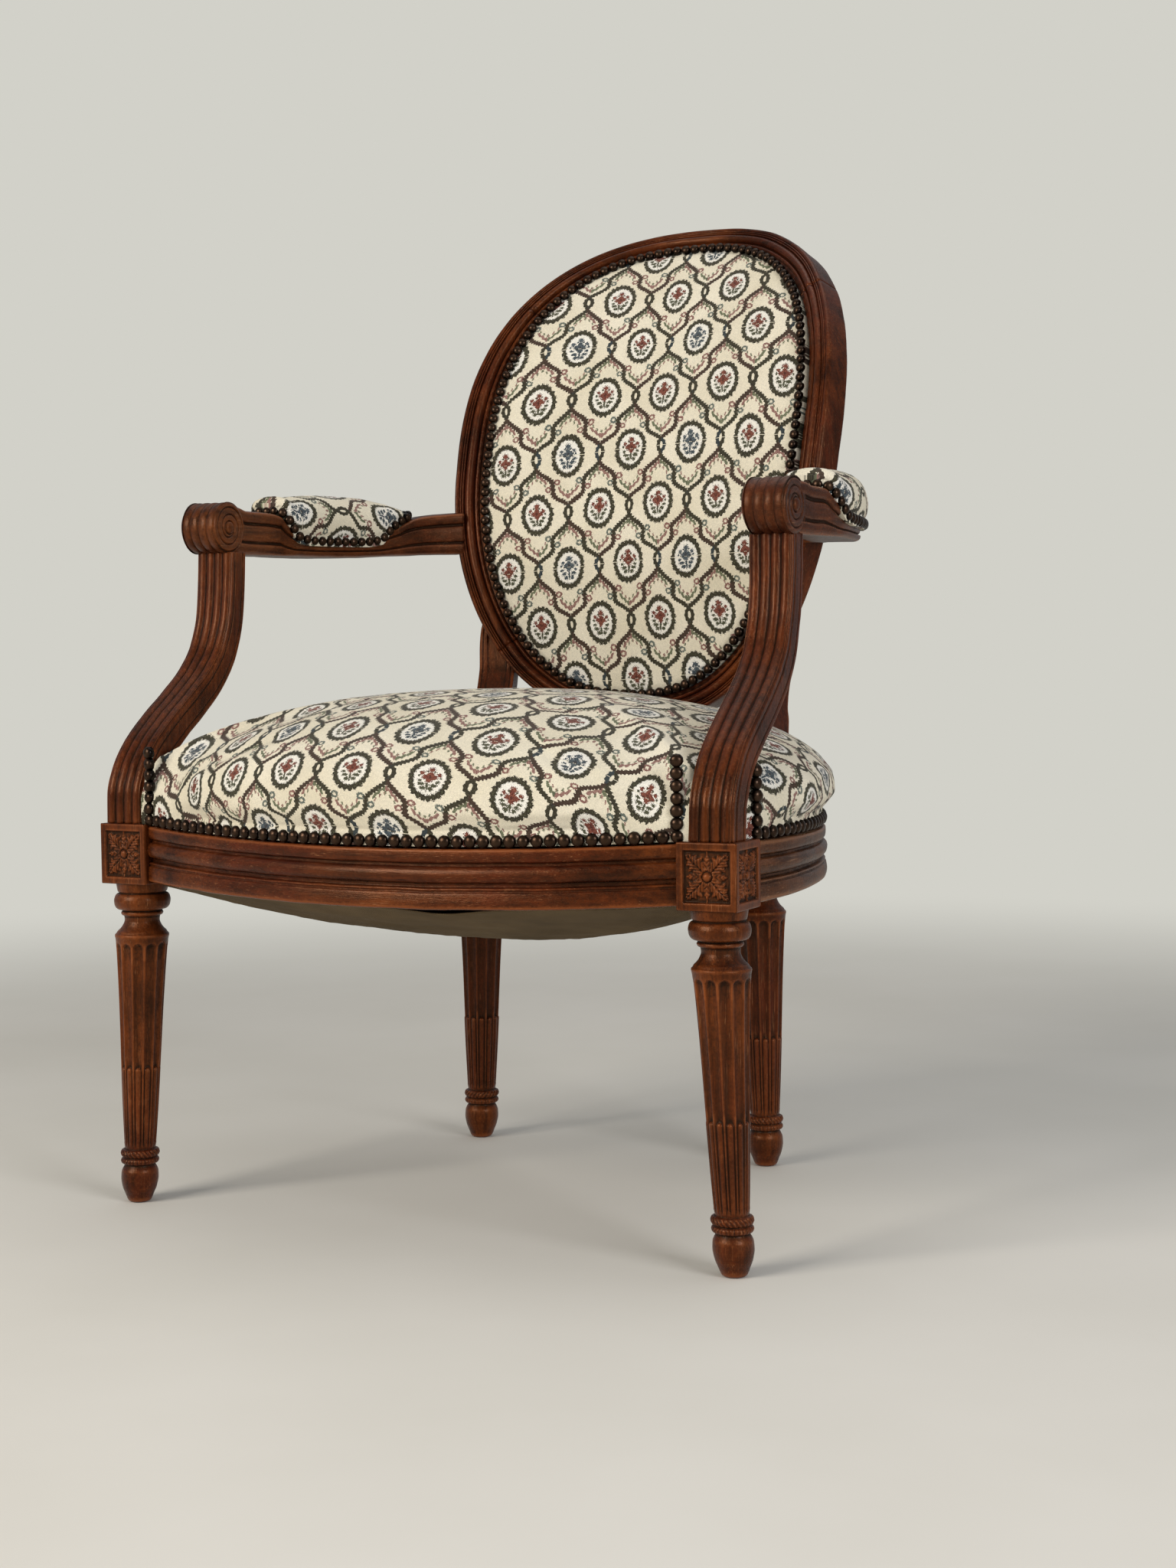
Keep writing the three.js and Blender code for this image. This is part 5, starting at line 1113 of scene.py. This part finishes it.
pad_round = [  # way round to the middle of the top, then reach, rise over the band, and place on it
    (0, -0.7, 0, 0), (1, -0.88, 0, 0), (2, -0.885, 0, 0.5), (3, -0.9, 0.03, 1), (4, -0.97, 0.14, 1),
    (5, -1, 0.3, 1), (6, -0.96, 0.52, 1), (7, -0.8, 0.77, 1), (8, -0.5, 0.93, 1), (9, -0.18, 1, 1)]


def arm_pad(late):
    """The pad's rings across the arm: a nailed band 8.6 high, then a full round crown. Its front end
    starts late by a share of the arm. Cloth lengths run along the arm and, across it, by the girth
    from the middle of the top."""
    start = PAD_START - 0.0025 + 0.975 * late
    s = start + (PAD_END - start) * (0.5 - 0.5 * np.cos(np.linspace(0, math.pi, 70)))
    at, out = arm_line(s)
    row = np.maximum(set_back(s, late), PAD_START)
    wide, low, high = (values[:, None] for values in curves(pad_along, row))
    reach, rise, band = curves(pad_round, np.linspace(0, 9, 46))
    reach = np.concatenate([reach, -reach[::-1]])
    rise, band = (np.concatenate([half, half[::-1]]) for half in (rise, band))
    level = ARM_BOTTOM + low * ARM_DEPTH + band * PAD_BAND + rise * high * PAD_HEIGHT
    across = (reach * wide * PAD_HALF)[..., None]
    points = np.concatenate([at[:, None] + out[:, None] * across, level[..., None]], -1)
    girth = length_along(points, 1)
    girth = girth - girth[:, 45:46]
    path = length_along(at) + np.linalg.norm(at[0] - arm_line(PAD_START)[0])
    return points, np.stack([girth, path[:, None] - 27 + 0 * girth], -1)


for (side, label), origin in zip(SIDES, ((50.5, 66), (118.5, 35))):
    points, weave = arm_pad(LATE[label])
    cover = to_side(side, skin(points, weave=weave + origin))
    pad = build("arm_pad_cover_" + label, [cover], tapestry, "tapestry", "arm_pad_" + label)
    row, column = np.indices(points.shape[:2])
    held = (np.minimum(row, len(points) - 1 - row) < 6) | (np.abs(column - 45.5) > 26)
    stuffed(pad, np.append(held.ravel(), [True, True]), 0.3, 4)

# Upholstery nails
# Domed bronze nails, driven so close that they touch, along every edge of the cloth, dark with age.
# Each head is painted lighter on top as a painted highlight and near black at its foot as painted shade.
NAIL, HEAD, SMALL, SMALL_HEAD = 5.1, 3.4, 4.35, 3.0  # radius and height of a head, large and small
SEAT_PITCH, COLUMN_PITCH, BACK_PITCH, ARM_PITCH = 10.6, 9.2, 9.3, 9.0


def old_bronze():
    """Browned bronze: dull dark metal with a grime mottle, painted near black at the foot of each head
    as painted shade between the heads and lighter on top as a painted highlight."""
    made, tree, shader = finish_of("bronze_nails")
    place = add(tree, "TexCoord", out="Object")
    grime = add(tree, "TexNoise", {"Vector": place, "Scale": 160, "Detail": 3, "Roughness": 0.6})
    height = add(tree, "Attribute", out="Fac", attribute_name="relief")
    # Painted light: the relief is each dome's height, so the foot of a head goes near black as painted shade
    # and the top goes lighter as a painted highlight. The noise over it is grime.
    grime_and_painted_light = add(tree, "ADD", height, add(tree, "MapRange", grime, 0.3, 0.7, -0.3, 0.3), use_clamp=True)
    rough = add(tree, "MapRange", grime, 0.3, 0.7, 0.2, 0.38)
    base = add(tree, "Mix", {0: grime_and_painted_light, 6: "#100a07", 7: "#3a291c"}, **RGBA)
    fill(tree, shader, {"Base Color": base, "Roughness": rough, "Metallic": 0.85})
    return made


bronze = old_bronze()


def nail_heads(at, out, radius, height, seed):
    """One closed dome per nail: six rings of ten points, the height falling as the root of 1 less the
    squared share of the radius, with a flat rim behind; each is tipped a little and set a little
    proud or deep."""
    wobble = np.random.default_rng(seed)
    count = len(at)
    out = unit(out + wobble.normal(scale=0.06, size=(count, 3)))
    side = unit(np.cross(out, [0.13, 0.21, 1]))
    up = np.cross(out, side)
    at = at + out * wobble.normal(scale=0.12, size=(count, 1))
    shares = np.array([1, 1, 0.93, 0.78, 0.55, 0.28])[:, None, None]
    rises = np.array([-0.9, 0.0, 0.37, 0.63, 0.84, 0.96])
    turn = around(10)[:, None]
    size = radius * (1 + wobble.normal(scale=0.02, size=(count, 1, 1, 1)))
    at, out, side, up = (values[:, None, None] for values in (at, out, side, up))
    ring = side * np.cos(turn) + up * np.sin(turn)
    points = at + ring * shares * size + out * (rises * height)[:, None, None]
    shells = []
    for dome, tip in zip(points, (at + out * height)[:, 0, 0]):
        shell = skin(dome, (0, 0))
        shell["points"][-1] = tip
        # The relief is set to each dome's height, 0 at the rim and 1 at the tip. The nail finish turns this
        # into painted shade at the foot and a painted highlight on top.
        shell["relief"][:] = np.concatenate([np.repeat(np.clip(rises, 0, 1), 10), [0, 1]])
        shells.append(shell)
    return shells


def spaced(line, pitch, closed=False):
    """Places along a line at even steps as near as can be to a pitch, with the way along the line."""
    if closed:
        line = np.concatenate([line, line[:1]])
    path = length_along(line)
    count = int(round(path[-1] / pitch))
    here = np.linspace(0, path[-1], count + 1)[:count + (not closed)]
    at, ahead, behind = (
        np.stack([np.interp(np.clip(here + step, 0, path[-1]), path, places) for places in line.T], -1)
        for step in (0, 2, -2))
    return at, unit(ahead - behind)


def edge_line(start, end):
    """The nailed line on the seat between two angles from the front: just over the rail's top and
    just outside the cloth."""
    angle = np.linspace(start, end, 400)
    at = np.stack(place_at(angle, reach_of(seat_outline(SEAT_IN), angle)), -1)
    at = at + outward(np.gradient(at, axis=0))[:, :2] * 0.6
    return np.column_stack([at, rail_top(*at.T) + 5.6])


def outward(along):
    """Level way to the right of a way along a line that runs to the sitter's left round the chair."""
    return unit(np.stack([along[:, 1], -along[:, 0], 0 * along[:, 0]], -1))


def column_of(foot, out, rise):
    """Places up a short upright row that starts one nail above its foot, beside a support."""
    steps = np.arange(1, int(rise / COLUMN_PITCH) + 1) * COLUMN_PITCH
    at = foot + out * 0.4 + np.array([0, 0, 1.0]) * steps[:, None]
    return at, np.repeat(out[None], len(at), 0)


def nail_row(start, end, *columns):
    """Places and outward ways of a row along the seat's edge between two angles, with upright columns
    added, each given as the nail in the row it stands on (0 first, -1 last) and its rise."""
    at, along = spaced(edge_line(start, end), SEAT_PITCH)
    out = outward(along)
    ends = [column_of(at[n], out[n], rise) for n, rise in columns]
    return (np.concatenate([part, *(end[n] for end in ends)]) for n, part in enumerate((at, out)))


last = angle_to(SUPPORT_X - SUPPORT_HALF - 5.6, -21)
at, out = nail_row(-last, last, (0, 60), (-1, 60))
build("nails_front", nail_heads(at, out, NAIL, HEAD, 61), bronze, "bronze_nails", "seat_nails_front")
first = angle_to(SUPPORT_X + SUPPORT_HALF, 13.3) + 10 / SUPPORT_X
at, out = nail_row(first, angle_to(REAR_X + REAR_WIDTH / 2, REAR_Y - 32), (0, 48))
for side, label in SIDES:
    heads = [to_side(side, shell) for shell in nail_heads(at, out, NAIL, HEAD, 63 + side)]
    build("nails_side_" + label, heads, bronze, "bronze_nails", "seat_nails_" + label)
first = angle_to(REAR_HALF - 10, REAR_Y + 16)
at, out = nail_row(first, TURN - first)
build("nails_rear", nail_heads(at, out, NAIL, HEAD, 67), bronze, "bronze_nails", "seat_nails_back")

u, v = oval(around(900), FRAME_WIDTH + 1.8)
line = back_point(u, v, -4.2 + 0 * u)
front = unit(back_point(u, v, -6 + 0 * u) - back_point(u, v, 0 * u))
at, _ = spaced(line, BACK_PITCH, closed=True)
near = np.argmin(np.linalg.norm(line[None] - at[:, None], axis=-1), axis=1)
build("nails_back", nail_heads(at, front[near], SMALL, SMALL_HEAD, 71), bronze, "bronze_nails", "back_nails")

arm_nail_rows = np.array([  # place along the arm, reach to the side and height, as shares
    (0.204, 0, 0.905), (0.204, 0.3, 0.905), (0.208, 0.5, 0.895), (0.217, 0.62, 0.865), (0.23, 0.73, 0.785),
    (0.25, 0.8, 0.66), (0.28, 0.855, 0.47), (0.31, 0.875, 0.365), (0.4, 0.9, 0.315), (0.55, 0.9, 0.315),
    (0.68, 0.88, 0.32), (0.745, 0.82, 0.38), (0.785, 0.74, 0.65), (0.83, 0.63, 0.815), (0.858, 0.48, 0.89),
    (0.868, 0.3, 0.925), (0.868, 0, 0.925)])
rows = np.concatenate([arm_nail_rows, (arm_nail_rows[1:-1] * [1, -1, 1])[::-1], arm_nail_rows[:1]])
steps = np.linspace(0, len(rows) - 1, 600)
rows = np.stack([np.interp(steps, np.arange(len(rows)), values) for values in rows.T], -1)[:-1]
place, reach, height = smoothed(rows, 60).T
s = np.linspace(0, 1, 400)
for side, label in SIDES:
    at, out = arm_line(np.interp(place, set_back(s, LATE[label]), s))
    line = np.column_stack([at + out * reach[:, None] * PAD_HALF, ARM_BOTTOM + height * ARM_DEPTH])
    at, along = spaced(line, ARM_PITCH, closed=True)
    heads = [to_side(side, shell) for shell in nail_heads(at, outward(along), SMALL, SMALL_HEAD, 73 + side)]
    build("nails_arm_" + label, heads, bronze, "bronze_nails", "arm_nails_" + label)

# Under the seat
# Jute webbing is strained across the frame and carries the springs and hair; below it a thin dust
# cloth is tacked under the rails and has sagged with age.
SPOKES, DUST_SAG, WEB_SAG, WEB_PITCH, WEB_HALF, WEB_THICK = 240, 54, 36, 62, 25, 1.4


def rail_under(x, y):
    """Underside of the rails at a place: the top less the rail's height, rising 8 towards the rear."""
    back = np.clip((y - SIDE_FRONT) / (SIDE_END - SIDE_FRONT), 0, 1)
    return rail_top(x, y) - RAIL + back * SIDE_RISE


def sag(share):
    """Share of the sag left at a share of the way out: 1 less the square, to the power 1.15."""
    return np.maximum(1 - share ** 2, 0) ** 1.15


def seat_rings(outline, shares):
    """Plan places and shares of rings round the seat's middle at shares of an outline."""
    angle, share = np.meshgrid(around(SPOKES), shares)
    return *place_at(angle, reach_of(outline, angle) * share), share


def dust_height(x, y, share):
    """The dust cloth's upper face: under the rails, sagging 54 in the middle, with slack folds that
    run in from the edge and a small loose lift by the front rail's middle."""
    turn = angle_to(x, y)
    folds = 1.3 * np.sin(turn * 17 + 1.5 * np.sin(turn * 5)) * np.clip(share - 0.25, 0, 1) ** 2
    folds = folds * (1 - share ** 8)
    loose = 4.5 * np.exp(-((x - 60) / 30) ** 2 - ((share - 0.985) / 0.03) ** 2)
    creases = 1.2 * ripple(np.stack([x, y, 0 * x], -1), 81) * (1 - share ** 4)
    return rail_under(x, y) - 0.6 - DUST_SAG * sag(share) + folds + creases - loose


dust_cloth = cloth_of("dust_cloth", "#7c694c", "#5b4c36", 0.9)
x, y, share = seat_rings(seat_outline(13.5), np.linspace(0.01, 1, 50))
rings = np.stack([x, y, dust_height(x, y, share)], -1)
dust = skin(np.concatenate([rings, (rings - [0, 0, 0.8])[::-1]]), (6, 6))
cover = build("dust_cloth_sheet", [dust], dust_cloth, "dust_cloth", "dust_cover")
webbing = cloth_of("webbing", "#8f7b55", "#5d4e33", 2.2)


def strap(start, end, over, outline):
    """One webbing strap between two places on the frame's inner line, 50 wide and 1.4 thick, hung on
    the sag and lifted over or under the crossing ones by a sine of its length."""
    middle = start + (end - start) * np.linspace(0, 1, 60)[:, None]
    along = unit(end - start)
    across = WEB_HALF * np.array([-1, -1, -0.48, 0, 0.48, 1, 1, 0.48, 0, -0.48])
    level = WEB_THICK * np.array([0, 1, 1, 1, 1, 1, 0, 0, 0, 0])
    plan = middle[:, None] + across[:, None] * [along[1], -along[0]]
    x, y = np.moveaxis(plan, -1, 0)
    share = np.hypot(x, y - SEAT_Y) / reach_of(outline, angle_to(x, y))
    lift = 0.8 * over * np.sin(length_along(middle) / WEB_PITCH * math.pi)[:, None]
    z = rail_under(x, y) + 3 - WEB_SAG * sag(np.minimum(share, 1)) - 1.5 + level + lift
    return skin(np.concatenate([plan, z[..., None]], -1), (0, 0))


well = well_outline(1)
straps = []
for turned, counts, span in (
        (1, range(-3, 4), np.arange(-80.0, 401)), (-1, range(6), np.arange(-280.0, 281))):
    for n in counts:
        line = np.column_stack([n * WEB_PITCH + 0 * span, span][::turned])
        inside = np.hypot(line[:, 0], line[:, 1] - SEAT_Y) < reach_of(well, angle_to(*line.T)) - 1
        straps.append(strap(line[inside][0], line[inside][-1], 1 if n % 2 else -1, well))
build("webbing_straps", straps, webbing, "webbing", "seat_webbing")

hair = cloth_of("hair_stuffing", "#54483a", "#2c241c", 3.1, 1.0)
x, y, share = seat_rings(well, np.append(np.linspace(0.02, 0.96, 40), 1))
low = np.stack([x, y, rail_under(x, y) + 3.3 - WEB_SAG * sag(share)], -1)
x, y, _ = seat_rings(well, [1, 0.8, 0.5, 0.2, 0.02])
high = np.stack([x, y, rail_top(x, y) - 1], -1)
build("stuffing", [skin(np.concatenate([low, high]), (0, 0))], hair, "hair_stuffing", "seat_stuffing")
size = (dust["points"].max(0) - dust["points"].min(0))[:2] / 1000

# Floor, light and camera
# A plain pale floor under the chair and soft, even daylight as in a studio. The camera stands where
# the photographer's phone was: low, in front and to the sitter's left, with the picture turned by a
# fraction of a degree.
BACKDROP = "#d2d1c9"
CAMERA, FOCAL, PICTURE_HEIGHT = (987.53, -1557.64, 463.89), 3080, 2048


def plain_floor():
    """Smooth pale plaster floor, so that only a faint mottle shows; far from the chair the camera
    sees it pass into the backdrop's own colour."""
    made, tree, shader = finish_of("plain_floor")
    place = add(tree, "TexCoord", out="Object")
    mottle = add(tree, "TexNoise", {"Vector": place, "Scale": 3, "Detail": 4})
    mottle = add(tree, "MapRange", mottle, 0.3, 0.7, 0.0, 1.0)
    base = add(tree, "Mix", {0: mottle, 6: "#d3d0c7", 7: "#d9d6ce"}, **RGBA)
    fill(tree, shader, {"Base Color": base, "Roughness": 0.75, "Specular IOR Level": 0.2})
    away = add(tree, "VectorMath", place, out=1, operation="LENGTH")
    away = add(tree, "MapRange", away, 0.9, 2.4, 0.0, 1.0, interpolation_type="SMOOTHSTEP")
    away = add(tree, "MULTIPLY", away, add(tree, "LightPath", out="Is Camera Ray"))
    wall = add(tree, "Emission", {"Color": BACKDROP, "Strength": 1.0})
    both = add(tree, "MixShader", away, shader.outputs[0], wall)
    fill(tree, tree.nodes["Material Output"], {"Surface": both})
    return made


mesh = bpy.data.meshes.new("floor")
mesh.from_pydata([(-9, -9, 0), (9, -9, 0), (9, 9, 0), (-9, 9, 0)], [], [(0, 1, 2, 3)])
mesh.materials.append(plain_floor())
floor = bpy.data.objects.new("floor", mesh)
bpy.context.scene.collection.objects.link(floor)

world = bpy.data.worlds.new("studio")
bpy.context.scene.world = world
world.use_nodes = True
tree = world.node_tree
seen = add(tree, "LightPath", out="Is Camera Ray")
fill(tree, tree.nodes["Background"], {
    "Color": add(tree, "Mix", {0: seen, 6: "#e0e2e4", 7: BACKDROP}, **RGBA),
    "Strength": add(tree, "MapRange", seen, 0.0, 1.0, 0.36, 1.0)})
for name, place, target, size, power, tint in (
        ("window", (-1.3, -2.9, 1.7), (0, 0, 0.45), 1.5, 84, "#fff8ee"),
        ("sky", (2.7, -1.3, 1.3), (0, 0, 0.45), 1.2, 46, "#fbfbff"),
        ("ceiling", (0.2, 0.3, 2.9), (0, 0, 0.4), 2.2, 16, "#ffffff")):
    light = bpy.data.lights.new(name, "AREA")
    light.shape, light.size, light.energy, light.color = "SQUARE", size, power, colour(tint)[:3]
    lamp = bpy.data.objects.new(name, light)
    lamp.location = place
    lamp.rotation_euler = (Vector(target) - Vector(place)).to_track_quat("-Z", "Y").to_euler()
    bpy.context.scene.collection.objects.link(lamp)

turn, pitch, roll = 0.48939, 0.05865, -0.01128
forward = Vector((-math.sin(turn) * math.cos(pitch), math.cos(turn) * math.cos(pitch), -math.sin(pitch)))
right = Vector((math.cos(turn), math.sin(turn), 0))
up = right.cross(forward)
right, up = (right * math.cos(roll) + up * math.sin(roll), up * math.cos(roll) - right * math.sin(roll))
camera = bpy.data.objects.new("camera", bpy.data.cameras.new("camera"))
bpy.context.scene.collection.objects.link(camera)
camera.data.sensor_width, camera.data.lens = 36, 36 * FOCAL / PICTURE_HEIGHT
place = (Vector(CAMERA) + Vector(SHIFT)) / 1000
camera.matrix_world = Matrix.Translation(place) @ Matrix((right, up, -forward)).transposed().to_4x4()
bpy.context.scene.camera = camera
bpy.context.scene.view_settings.view_transform = "Standard"
